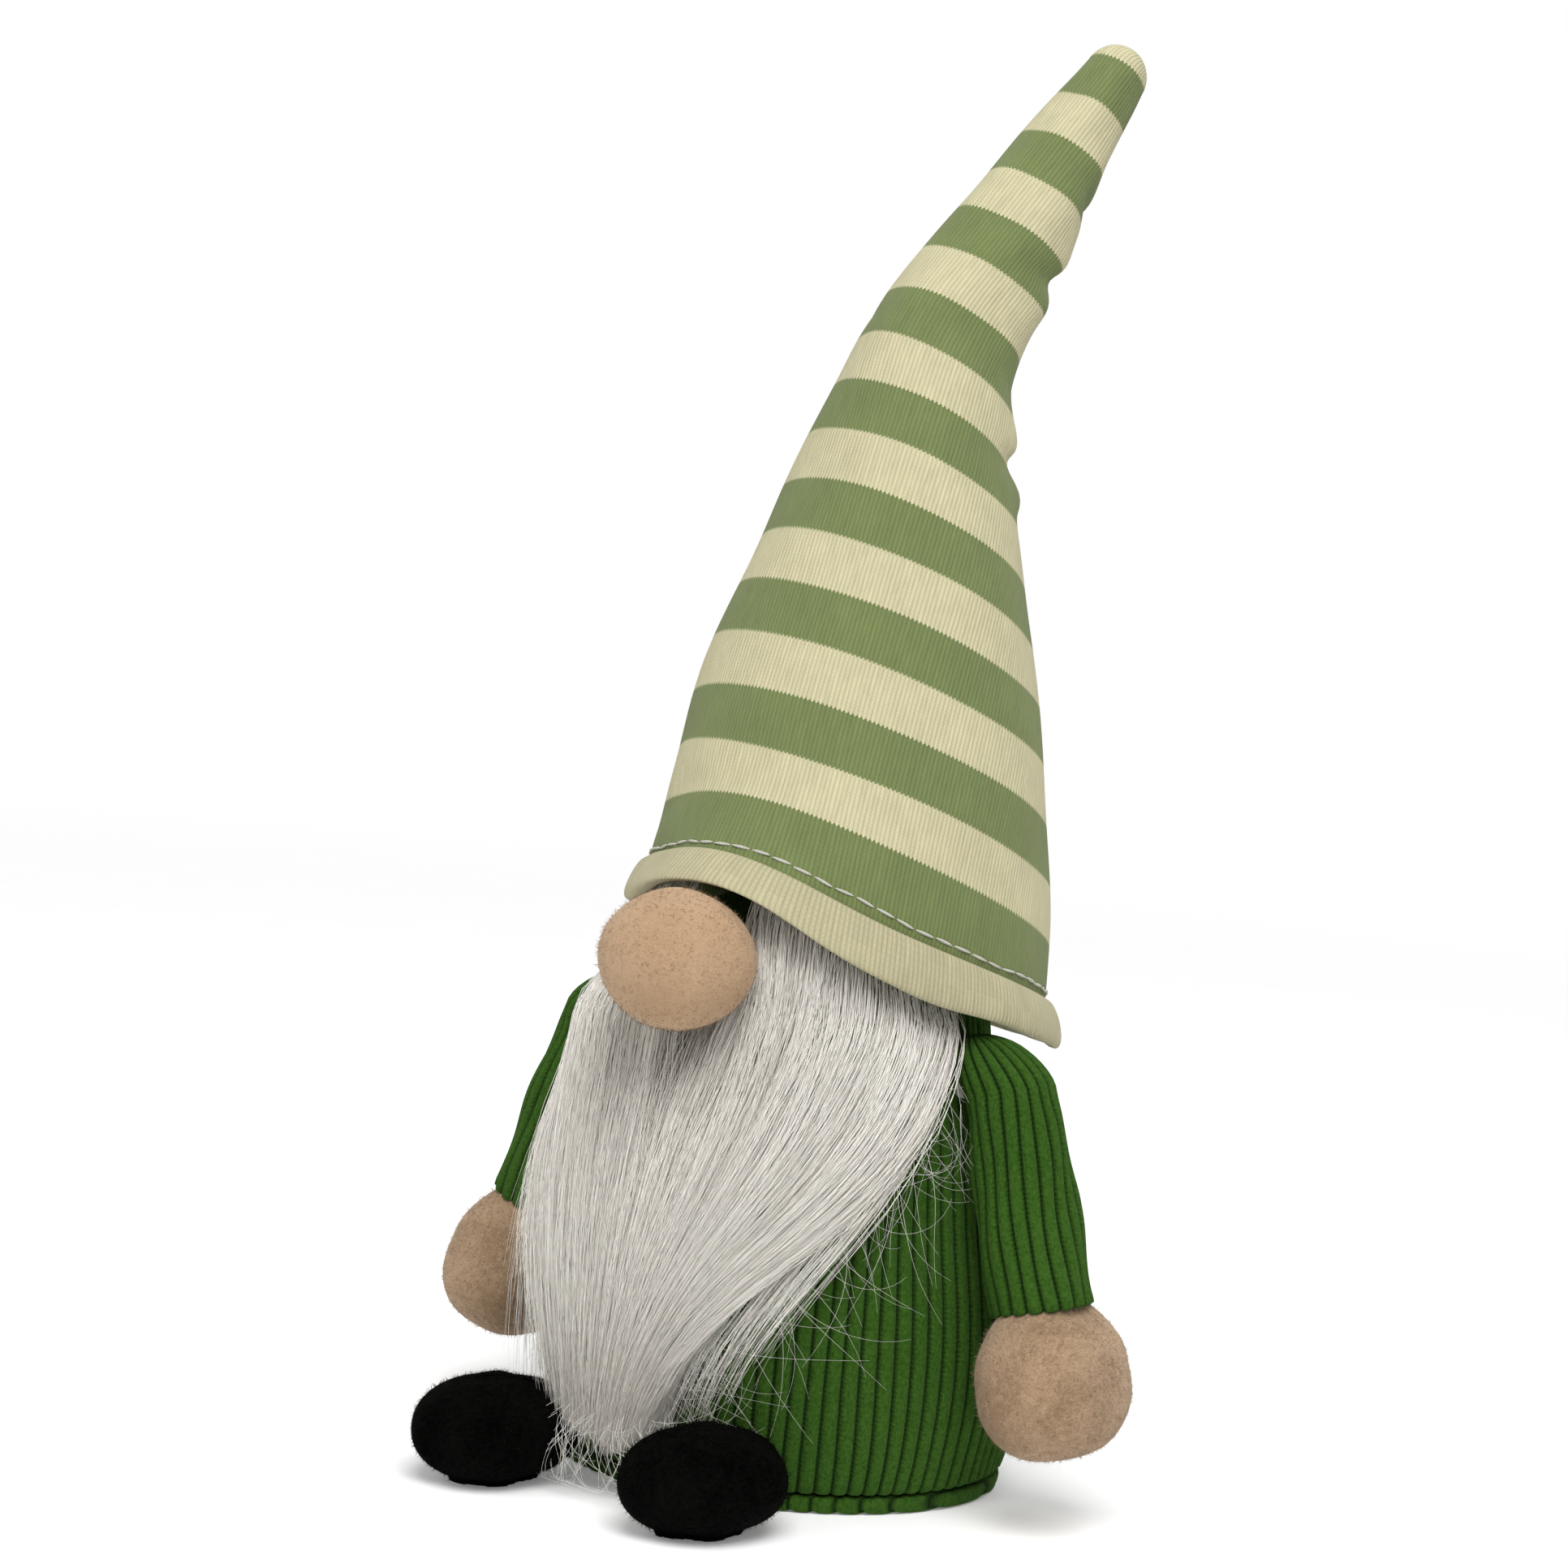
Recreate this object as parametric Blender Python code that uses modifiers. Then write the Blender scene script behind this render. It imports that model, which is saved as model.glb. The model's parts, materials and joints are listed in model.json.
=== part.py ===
"""Stuffed tomte gnome: a weighted pear body, hanging arms, two feet, a fur beard and a tall soft hat.

The origin is the centre of the flat base on the floor. +Z is up, the gnome faces -Y and +X is its left.
All sizes are in metres. A piece that moves has its origin, or its parent empty, on its joint's axis.
"""

import math

import bmesh
import bpy
from mathutils import Matrix, Vector

MM = 0.001

# Cloth and clearances
GAP = 0.4 * MM
CORDUROY = 1.5 * MM
JERSEY = 1.2 * MM
FLEECE = 1.2 * MM
BACKING = 1.2 * MM
LOOSE = 0.6 * MM

# Body: radii of the pear at its heights
BELLY_RADIUS = 49.0 * MM
BELLY_HEIGHT = 22.0 * MM
BASE_TUCK = 3.4 * MM
BASE_HEIGHT = 3.5 * MM
HEAD_RADIUS = 34.0 * MM
HEAD_HEIGHT = 99.0 * MM
SHOULDER_SPREAD = 2.6 * MM
SHOULDER_DROP = 14.5 * MM
CROWN_RISE = 19.0 * MM
STIFFENER_THICKNESS = 1.4 * MM
PELLET_HEIGHT = 28.0 * MM

# Arms: measured from the shoulder's pivot
TACK_RADIUS = 3.0 * MM
TACK_THICKNESS = 1.6 * MM
SHOULDER_FORWARD = 4.0 * MM
SLEEVE_LENGTH = 42.5 * MM
SLEEVE_TOP_RADIUS = 8.8 * MM
SLEEVE_CUFF_RADIUS = 10.6 * MM
ARM_GAP = 1.6 * MM
HAND_WIDE = 12.5 * MM
HAND_DEEP = 16.4 * MM
HAND_HALF_LENGTH = 16.3 * MM
HAND_TUCK = 3.0 * MM

# Feet
FOOT_WIDE = 14.5 * MM
FOOT_HALF_LENGTH = 19.5 * MM
FOOT_HALF_HEIGHT = 10.2 * MM
FOOT_SPREAD = 25.0 * MM
FOOT_GAP = 1.6 * MM
SOLE_THICKNESS = 1.1 * MM

# Nose
NOSE_RADIUS = 15.6 * MM
NOSE_SQUASH = 0.88
NOSE_DROP = 7.2 * MM
NOSE_SINK = 1.8 * MM
NOSE_ASIDE = -0.6 * MM

# Beard
BEARD_HINGE_DROP = 20.0 * MM
BEARD_TOP_DROP = 3.0 * MM
BEARD_TIP_HEIGHT = 12.0 * MM
BEARD_HALF_WIDTH = 46.0 * MM
BEARD_TIP_HALF_WIDTH = 4.0 * MM
BEARD_WRAP = math.radians(60)
BEARD_STANDOFF = 2.2 * MM
PILE_THICKNESS = 8.0 * MM
BAND_ROWS = 7
FLAP_ROWS = 12

# Hat: heights are measured along its spine, from the hem's lower edge
HAT_LENGTH = 214.5 * MM
HAT_ASIDE = 1.5 * MM
HAT_BACK = 4.5 * MM
HAT_EASE = 8.4 * MM
HAT_BEND_RADIUS = 16.4 * MM
HAT_TIP_RADIUS = 6.8 * MM
HAT_BEND_AT = 132.0 * MM
FOLD_HALF_HEIGHT = 6.0 * MM
HAT_TAPER_POWER = 1.38
HEM_HEIGHT = 10.5 * MM
HEM_THICKNESS = 2.6 * MM
HEM_FLARE = 1.8 * MM
HEM_RISE = 1.0 * MM
STITCH_RADIUS = 0.5 * MM
NOSE_BULGE = 12.0 * MM
NOSE_CLEARANCE = 0.8 * MM
NOSE_BULGE_SPAN = 34.0 * MM
NOSE_BULGE_ANGLE = math.radians(30)
SPINE_LEAN = (math.radians(15.0), math.radians(35.0))
SPINE_SIDE = (math.radians(-6.0), math.radians(10.0))
RING_LEAN = (math.radians(13.5), math.radians(22.0), math.radians(34.0))
RING_SIDE = (math.radians(7.0), math.radians(4.0), math.radians(10.5))
RING_SETTLE = 22.0 * MM
BEND_SPAN = 26.0 * MM

# Derived places
SHOULDER_HEIGHT = HEAD_HEIGHT - SHOULDER_DROP
BEARD_HINGE_HEIGHT = HEAD_HEIGHT - BEARD_HINGE_DROP
BEARD_BAND_TOP = HEAD_HEIGHT - BEARD_TOP_DROP
HAT_FORM_RADIUS = HEAD_RADIUS + HAT_EASE
BASE_RADIUS = BELLY_RADIUS - BASE_TUCK
SHOULDER_RADIUS = HEAD_RADIUS + SHOULDER_SPREAD
HEM_HEIGHT_OFF_FLOOR = HEAD_HEIGHT + HEM_RISE
NOSE_TOP = HEAD_HEIGHT + NOSE_DROP + NOSE_RADIUS * NOSE_SQUASH
HEM_FRONT = HEM_HEIGHT_OFF_FLOOR + math.sin(RING_LEAN[0]) * (HAT_FORM_RADIUS + NOSE_BULGE)
NOSE_RAISE = max(NOSE_TOP + NOSE_CLEARANCE - HEM_FRONT, 0.0)

COLOURS = {
    "body_corduroy": ((0.045, 0.16, 0.03), 0.95),
    "hat_jersey_green": ((0.16, 0.26, 0.08), 0.9),
    "hat_jersey_cream": ((0.62, 0.58, 0.34), 0.9),
    "beard_fur": ((0.62, 0.60, 0.56), 0.8),
    "knit_backing": ((0.55, 0.53, 0.48), 0.95),
    "nose_fleece": ((0.70, 0.45, 0.28), 0.95),
    "hand_felt": ((0.58, 0.42, 0.26), 0.95),
    "foot_fleece": ((0.008, 0.007, 0.007), 0.95),
    "polyester_wadding": ((0.85, 0.85, 0.83), 0.95),
    "pellet_bag": ((0.75, 0.74, 0.70), 0.7),
    "stiffener_board": ((0.38, 0.28, 0.17), 0.9),
    "stitch_thread": ((0.72, 0.70, 0.60), 0.7),
}


def clear_scene():
    """Removes whatever the open file holds."""
    for obj in list(bpy.data.objects):
        bpy.data.objects.remove(obj, do_unlink=True)


def make_material(name):
    """Makes one Principled material from the colour list."""
    colour, roughness = COLOURS[name]
    material = bpy.data.materials.new(name)
    material.use_nodes = True
    shader = material.node_tree.nodes["Principled BSDF"]
    shader.inputs["Base Color"].default_value = (*colour, 1.0)
    shader.inputs["Roughness"].default_value = roughness
    shader.inputs["Metallic"].default_value = 0.0
    return material


def mix(a, b, t):
    """Blends from a to b as t goes from 0 to 1."""
    return a + (b - a) * t


def smooth(t):
    """An S-shaped step, held at 0 and at 1."""
    t = min(max(t, 0.0), 1.0)
    return t * t * (3.0 - 2.0 * t)


def body_radius(z):
    """Radius of the body's outer surface at height z."""
    if z <= BELLY_HEIGHT:
        t = (z - BASE_HEIGHT) / (BELLY_HEIGHT - BASE_HEIGHT)
        return BASE_RADIUS + BASE_TUCK * math.sin(0.5 * math.pi * min(max(t, 0.0), 1.0))
    if z <= SHOULDER_HEIGHT:
        t = (z - BELLY_HEIGHT) / (SHOULDER_HEIGHT - BELLY_HEIGHT)
        return mix(BELLY_RADIUS, SHOULDER_RADIUS, t**1.7)
    if z <= HEAD_HEIGHT:
        return mix(SHOULDER_RADIUS, HEAD_RADIUS, (z - SHOULDER_HEIGHT) / (HEAD_HEIGHT - SHOULDER_HEIGHT))
    rise = min((z - HEAD_HEIGHT) / CROWN_RISE, 1.0)
    return HEAD_RADIUS * math.sqrt(1.0 - rise * rise)


def body_outline(bottom, top, steps, offset=0.0):
    """Points (radius, height) down the body's side from top to bottom, moved out by offset."""
    heights = [mix(top, bottom, i / steps) for i in range(steps + 1)]
    return [(body_radius(z) + offset, z) for z in heights]


def crown_outline(offset=0.0, steps=5):
    """Points over the head's dome, from the axis down to the head's full radius."""
    turns = [math.radians(mix(90, 12, i / steps)) for i in range(steps + 1)]
    points = []
    for turn in turns:
        points.append(((HEAD_RADIUS + offset) * math.cos(turn), HEAD_HEIGHT + (CROWN_RISE + offset) * math.sin(turn)))
    points[0] = (0.0, points[0][1])
    return points


# Hat geometry


def hat_radius(s):
    """Radius of the hat's outer surface at distance s along its spine."""
    if s <= HAT_BEND_AT:
        t = max(s - HEM_HEIGHT, 0.0) / (HAT_BEND_AT - HEM_HEIGHT)
        return mix(HAT_FORM_RADIUS, HAT_BEND_RADIUS, t**HAT_TAPER_POWER)
    return mix(HAT_BEND_RADIUS, HAT_TIP_RADIUS, (s - HAT_BEND_AT) / (HAT_LENGTH - HAT_TIP_RADIUS - HAT_BEND_AT))


def spine_point(s):
    """Centre of the hat's ring at distance s: a straight lower part, a bend and a straight upper part."""
    point = Vector((HAT_ASIDE, HAT_BACK, HEM_HEIGHT_OFF_FLOOR))
    step = 2.0 * MM
    walked = 0.0
    while walked < s - 1e-9:
        length = min(step, s - walked)
        turn = smooth((walked + 0.5 * length - HAT_BEND_AT) / BEND_SPAN + 0.5)
        lean = math.tan(mix(*SPINE_LEAN, turn))
        side = math.tan(mix(*SPINE_SIDE, turn))
        point += Vector((side, lean, 1.0)).normalized() * length
        walked += length
    return point


def ring_axes(s):
    """The ring's sideways, backward and upward axes at distance s."""
    settle = smooth(s / RING_SETTLE)
    along = min(max(s / HAT_LENGTH, 0.0), 1.0)
    lean = math.tan(mix(RING_LEAN[0], mix(RING_LEAN[1], RING_LEAN[2], smooth(along)), settle))
    side = math.tan(mix(RING_SIDE[0], mix(RING_SIDE[1], RING_SIDE[2], smooth(along)), settle))
    up = Vector((side, lean, 1.0)).normalized()
    across = Vector((1.0, 0.0, -up.x / up.z)).normalized()
    return across, up.cross(across), up


def hat_point(x, y, s):
    """Carries a point of the straight hat, with its hem at height 0, to its place on the leaning hat."""
    radius = math.hypot(x, y)
    raised = 0.0
    if radius > 1e-6:
        around = math.atan2(x, -y)
        near_hem = max(1.0 - max(s, 0.0) / NOSE_BULGE_SPAN, 0.0) ** 2
        near_nose = near_hem * math.exp(-((around / NOSE_BULGE_ANGLE) ** 2))
        grown = 1.0 + NOSE_BULGE * near_nose / radius
        raised = NOSE_RAISE * near_nose
        x *= grown
        y *= grown
    across, back, up = ring_axes(s)
    return spine_point(s) + across * x + back * y + up * raised


# Modelling helpers


class Builder:
    """Keeps the two collections and makes the objects in them."""

    def __init__(self, name):
        scene = bpy.context.scene
        self.parts = bpy.data.collections.new(name)
        self.cutters = bpy.data.collections.new(name + "_cutters")
        scene.collection.children.link(self.parts)
        scene.collection.children.link(self.cutters)
        self.materials = {key: make_material(key) for key in COLOURS}

    def add(self, name, mesh, material):
        """Adds a mesh as a named piece with its material."""
        obj = bpy.data.objects.new(name, mesh)
        self.parts.objects.link(obj)
        mesh.materials.clear()
        mesh.materials.append(self.materials[material])
        return obj

    def empty(self, name, location, turn=None):
        """Adds an empty that carries a moving body."""
        obj = bpy.data.objects.new(name, None)
        obj.empty_display_size = 0.01
        self.parts.objects.link(obj)
        obj.location = location
        if turn is not None:
            obj.rotation_euler = turn
        bpy.context.view_layer.update()
        return obj

    def cutter(self, name, mesh):
        """Adds a mesh that only cuts."""
        obj = bpy.data.objects.new(name, mesh)
        self.cutters.objects.link(obj)
        obj.display_type = "WIRE"
        obj.hide_render = True
        return obj


def outline_mesh(name, outline, closed=False):
    """A chain of edges in the XZ plane, at +X, from points (radius, height)."""
    mesh = bpy.data.meshes.new(name)
    count = len(outline)
    edges = [(i, i + 1) for i in range(count - 1)]
    if closed:
        edges.append((count - 1, 0))
    mesh.from_pydata([(r, 0.0, z) for r, z in outline], edges, [])
    return mesh


def add_screw(obj, steps, angle=2.0 * math.pi):
    """Turns the object's outline about its Z axis."""
    screw = obj.modifiers.new("turn", "SCREW")
    screw.axis = "Z"
    screw.angle = angle
    screw.steps = steps
    screw.render_steps = steps
    screw.use_merge_vertices = True
    screw.merge_threshold = 0.00001
    screw.use_smooth_shade = True
    return screw


def add_solidify(obj, thickness, outward=False):
    """Gives an open surface its cloth's thickness."""
    solidify = obj.modifiers.new("cloth", "SOLIDIFY")
    solidify.thickness = thickness
    solidify.offset = 1.0 if outward else -1.0
    solidify.use_even_offset = True
    return solidify


def turned_solid(build, name, outline, material, steps=32):
    """A solid turned from an outline that starts and ends on the axis."""
    obj = build.add(name, outline_mesh(name, outline), material)
    add_screw(obj, steps)
    return obj


def turned_shell(build, name, outline, thickness, material, steps=32):
    """A shell turned from an open outline, thickened inwards."""
    obj = turned_solid(build, name, outline, material, steps)
    add_solidify(obj, thickness)
    return obj


def turned_ring(build, name, outline, material, steps=36):
    """A ring turned from a closed section."""
    obj = build.add(name, outline_mesh(name, outline, closed=True), material)
    add_screw(obj, steps)
    return obj


def bake(obj):
    """Replaces the object's mesh by its evaluated one and drops its modifiers."""
    bpy.context.view_layer.update()
    graph = bpy.context.evaluated_depsgraph_get()
    mesh = bpy.data.meshes.new_from_object(obj.evaluated_get(graph))
    obj.modifiers.clear()
    obj.data = mesh
    return obj


def seat_on_hat(obj, pivot=None):
    """Carries a straight hat piece to its place on the leaning hat, with its origin at the pivot."""
    bake(obj)
    origin = pivot if pivot is not None else Vector((0.0, 0.0, 0.0))
    for vertex in obj.data.vertices:
        vertex.co = hat_point(*vertex.co) - origin
    obj.location = origin
    return obj


def round_section(radius, centre_r, centre_z, sides=8):
    """A round section of a ring, as points in order for outward faces."""
    points = []
    for i in range(sides):
        turn = -2.0 * math.pi * i / sides
        points.append((centre_r + radius * math.cos(turn), centre_z + radius * math.sin(turn)))
    return points


def ball_mesh(name, radii, segments=24, rings=14):
    """An ellipsoid from a UV sphere."""
    bm = bmesh.new()
    bmesh.ops.create_uvsphere(bm, u_segments=segments, v_segments=rings, radius=1.0)
    bmesh.ops.transform(bm, matrix=Matrix.Diagonal((*radii, 1.0)), verts=bm.verts)
    mesh = bpy.data.meshes.new(name)
    bm.to_mesh(mesh)
    bm.free()
    mesh.shade_smooth()
    return mesh


def open_ball(build, name, radii, plane_point, plane_normal, thickness, material, segments=24, rings=14):
    """An ellipsoid shell with an opening cut by a plane; the side that the normal points to is removed."""
    mesh = ball_mesh(name, radii, segments, rings)
    bm = bmesh.new()
    bm.from_mesh(mesh)
    geometry = bm.verts[:] + bm.edges[:] + bm.faces[:]
    bmesh.ops.bisect_plane(bm, geom=geometry, plane_co=plane_point, plane_no=plane_normal, clear_outer=True)
    bm.to_mesh(mesh)
    bm.free()
    obj = build.add(name, mesh, material)
    add_solidify(obj, thickness)
    return obj


def prism(build, name, outline, depth_from, depth_to):
    """A cutter: a flat outline of (x, z) points, pushed along Y between two depths."""
    curve = bpy.data.curves.new(name, "CURVE")
    curve.dimensions = "2D"
    curve.fill_mode = "BOTH"
    curve.extrude = 0.5 * (depth_to - depth_from)
    spline = curve.splines.new("POLY")
    spline.points.add(len(outline) - 1)
    for point, (x, z) in zip(spline.points, outline):
        point.co = (x, z, 0.0, 1.0)
    spline.use_cyclic_u = True
    flat = bpy.data.objects.new(name + "_outline", curve)
    build.cutters.objects.link(flat)
    flat.rotation_euler = (math.radians(90), 0.0, 0.0)
    flat.location = (0.0, 0.5 * (depth_from + depth_to), 0.0)
    bpy.context.view_layer.update()
    graph = bpy.context.evaluated_depsgraph_get()
    mesh = bpy.data.meshes.new_from_object(flat.evaluated_get(graph))
    bm = bmesh.new()
    bm.from_mesh(mesh)
    bmesh.ops.remove_doubles(bm, verts=bm.verts, dist=1e-6)
    bmesh.ops.recalc_face_normals(bm, faces=bm.faces)
    bm.to_mesh(mesh)
    bm.free()
    obj = build.cutter(name, mesh)
    obj.matrix_world = flat.matrix_world
    bpy.data.objects.remove(flat, do_unlink=True)
    return obj


def boolean(obj, cutter, operation):
    """Cuts or trims a piece with a cutter."""
    modifier = obj.modifiers.new(operation.lower(), "BOOLEAN")
    modifier.operation = operation
    modifier.object = cutter
    modifier.solver = "EXACT"
    return modifier


def hang(obj, parent, location=(0.0, 0.0, 0.0)):
    """Parents a piece to its body's empty, with a location in the empty's own axes."""
    obj.parent = parent
    obj.location = location
    return obj


# The body and what it holds


def build_body(build):
    """The corduroy body, its base and its filling."""
    top = crown_outline(0.0, 4)
    side = body_outline(BASE_HEIGHT + GAP, HEAD_HEIGHT, 9)
    turned_shell(build, "body_shell", top + side[1:], CORDUROY, "body_corduroy", 32)

    rim = body_radius(BASE_HEIGHT)
    panel = [(rim, BASE_HEIGHT), (rim, 1.6 * MM), (rim - 0.6 * MM, 0.5 * MM), (rim - 2.0 * MM, 0.0), (0.0, 0.0)]
    turned_shell(build, "base_panel", panel, CORDUROY, "body_corduroy", 32)

    board_radius = rim - CORDUROY - 1.5 * MM
    board_low = CORDUROY + GAP
    board_high = board_low + STIFFENER_THICKNESS
    board = [(0.0, board_high), (board_radius, board_high), (board_radius, board_low), (0.0, board_low)]
    turned_solid(build, "base_stiffener", board, "stiffener_board", 32)

    inset = -(CORDUROY + 2.0 * LOOSE)
    bag_low = board_high + GAP
    bag_side = body_outline(bag_low + 3.0 * MM, PELLET_HEIGHT - 3.0 * MM, 3, inset)
    bag_top = (0.72 * body_radius(PELLET_HEIGHT), PELLET_HEIGHT)
    bag_base = (board_radius - 3.0 * MM, bag_low)
    bag = [(0.0, PELLET_HEIGHT), bag_top] + bag_side + [bag_base, (0.0, bag_low)]
    turned_solid(build, "pellet_bag", bag, "pellet_bag", 28)

    fill_low = PELLET_HEIGHT + GAP
    fill_side = body_outline(fill_low, HEAD_HEIGHT, 6, inset)
    fill = crown_outline(inset, 3) + fill_side[1:] + [(0.0, fill_low)]
    turned_solid(build, "body_stuffing", fill, "polyester_wadding", 28)


# The nose


def build_nose(build):
    """The fleece ball under the rim of the hat, open at its gathered back, and its filling."""
    seat = HEAD_RADIUS + BEARD_STANDOFF + BACKING + GAP + NOSE_SINK
    centre = Vector((NOSE_ASIDE, -(seat + 0.78 * NOSE_RADIUS), HEAD_HEIGHT + NOSE_DROP))
    radii = (NOSE_RADIUS, NOSE_RADIUS, NOSE_RADIUS * NOSE_SQUASH)
    opening = (0.0, 0.70 * NOSE_RADIUS, 0.0)
    cover = open_ball(build, "nose_cover", radii, opening, (0.0, 1.0, 0.0), FLEECE, "nose_fleece", 20, 12)
    cover.location = centre

    inset = 1.0 - (FLEECE + LOOSE) / NOSE_RADIUS
    filling = build.add("nose_stuffing", ball_mesh("nose_stuffing", [r * inset for r in radii], 14, 8),
                        "polyester_wadding")
    trim = prism(build, "nose_back_trim", [(-0.05, -0.05), (0.05, -0.05), (0.05, 0.05), (-0.05, 0.05)],
                 0.62 * NOSE_RADIUS, 0.05)
    trim.location += centre
    filling.location = centre
    boolean(filling, trim, "DIFFERENCE")


# The beard


def beard_half_width(z):
    """Half the beard's width at height z, seen from the front."""
    t = (z - BEARD_TIP_HEIGHT) / (BEARD_HINGE_HEIGHT - BEARD_TIP_HEIGHT)
    return mix(BEARD_TIP_HALF_WIDTH, BEARD_HALF_WIDTH, min(max(t, 0.0), 1.0) ** 0.85)


def beard_sheet(build, name, low, high, inner, thickness, material, rows, inset=0.0):
    """A curved panel that follows the front of the body, trimmed to the beard's V shape."""
    outline = body_outline(low, high, rows, inner)
    obj = build.add(name, outline_mesh(name, outline), material)
    add_screw(obj, 16, 2.0 * BEARD_WRAP)
    add_solidify(obj, thickness, outward=True)
    bake(obj)
    turn = Matrix.Rotation(-0.5 * math.pi - BEARD_WRAP, 4, "Z")
    obj.data.transform(turn)
    heights = [mix(low, high, i / 4) for i in range(5)]
    left = [(beard_half_width(z) - inset, z) for z in heights]
    left[0] = (left[0][0], low - 1.0 * MM)
    left[-1] = (left[-1][0], high + 1.0 * MM)
    right = [(-x, z) for x, z in reversed(left)]
    boolean(obj, prism(build, name + "_trim", left + right, -0.12, 0.0), "INTERSECT")
    return bake(obj)


def build_beard(build):
    """The sewn band under the hat's rim and the hanging flap, each a knitted backing with its pile."""
    pile_inner = BEARD_STANDOFF + BACKING + GAP
    beard_sheet(build, "beard_band", BEARD_HINGE_HEIGHT + LOOSE, BEARD_BAND_TOP, BEARD_STANDOFF, BACKING,
                "knit_backing", BAND_ROWS)
    under_nose = HEAD_HEIGHT + NOSE_DROP - NOSE_RADIUS * NOSE_SQUASH - LOOSE
    beard_sheet(build, "beard_band_pile", BEARD_HINGE_HEIGHT + LOOSE, under_nose, pile_inner,
                PILE_THICKNESS, "beard_fur", BAND_ROWS)

    pivot = beard_pivot()
    carrier = build.empty("beard_pivot", pivot)
    low = BEARD_TIP_HEIGHT + 4.0 * MM
    backing = beard_sheet(build, "beard_backing", low, BEARD_HINGE_HEIGHT, BEARD_STANDOFF, BACKING,
                          "knit_backing", FLAP_ROWS, 1.0 * MM)
    pile = beard_sheet(build, "beard_pile", BEARD_TIP_HEIGHT, BEARD_HINGE_HEIGHT, pile_inner,
                       PILE_THICKNESS, "beard_fur", FLAP_ROWS)
    for obj in (backing, pile):
        obj.data.transform(Matrix.Translation(-pivot))
        hang(obj, carrier)


def beard_pivot():
    """The bending line of the beard, just under its sewn band."""
    backing_middle = body_radius(BEARD_HINGE_HEIGHT) + BEARD_STANDOFF + 0.5 * BACKING
    return Vector((0.0, -backing_middle, BEARD_HINGE_HEIGHT))


# Arms


def sleeve_radius(down):
    """Radius of the sleeve at a distance down from its pivot."""
    return mix(SLEEVE_TOP_RADIUS, SLEEVE_CUFF_RADIUS, min(down / SLEEVE_LENGTH, 1.0))


def shoulder_offset():
    """How far the shoulder's pivot is from the body's axis."""
    near = max(SHOULDER_FORWARD - TACK_RADIUS, 0.0)
    surface = math.sqrt(body_radius(SHOULDER_HEIGHT - TACK_RADIUS) ** 2 - near**2)
    return surface + 2.0 * GAP + TACK_THICKNESS + SLEEVE_TOP_RADIUS


def arm_splay():
    """The smallest outward lean at which the arm clears the body all the way down."""
    steepest = 0.0
    length = SLEEVE_LENGTH + 2.0 * HAND_HALF_LENGTH
    for i in range(3, 25):
        down = length * i / 24
        half_width = sleeve_radius(down) if down < SLEEVE_LENGTH else HAND_WIDE
        needed = body_radius(SHOULDER_HEIGHT - 0.95 * down) + ARM_GAP + 1.05 * half_width
        steepest = max(steepest, (needed - shoulder_offset()) / down)
    return math.atan(steepest)


def sleeve_outline():
    """From the round top of the sleeve, around its pivot, down to the cuff."""
    points = []
    for i in range(6):
        turn = math.radians(mix(90, 0, i / 5))
        points.append((SLEEVE_TOP_RADIUS * math.cos(turn), SLEEVE_TOP_RADIUS * math.sin(turn)))
    points[0] = (0.0, SLEEVE_TOP_RADIUS)
    for i in range(1, 5):
        down = SLEEVE_LENGTH * i / 4
        points.append((sleeve_radius(down), -down))
    return points


def arm_filling_outline(hand_centre):
    """The filling of the sleeve and of the hand, with a waist at the cuff."""
    inset = CORDUROY + LOOSE
    top = SLEEVE_TOP_RADIUS - inset
    hand_inset = FLEECE + LOOSE
    waist = 0.42 * HAND_WIDE
    points = [(0.0, top)]
    points += [(top * math.cos(math.radians(a)), top * math.sin(math.radians(a))) for a in (60, 30, 0)]
    points += [(sleeve_radius(SLEEVE_LENGTH * 0.85) - inset, -SLEEVE_LENGTH * 0.85)]
    points += [(waist, -SLEEVE_LENGTH + 1.0 * MM), (waist, -SLEEVE_LENGTH - 2.0 * MM)]
    for angle in (35, 0, -35, -65):
        turn = math.radians(angle)
        across = (HAND_WIDE - hand_inset) * math.cos(turn) * 0.96
        points.append((across, hand_centre + (HAND_HALF_LENGTH - hand_inset) * math.sin(turn) * 0.96))
    points.append((0.0, hand_centre - 0.96 * (HAND_HALF_LENGTH - hand_inset)))
    return points


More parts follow.
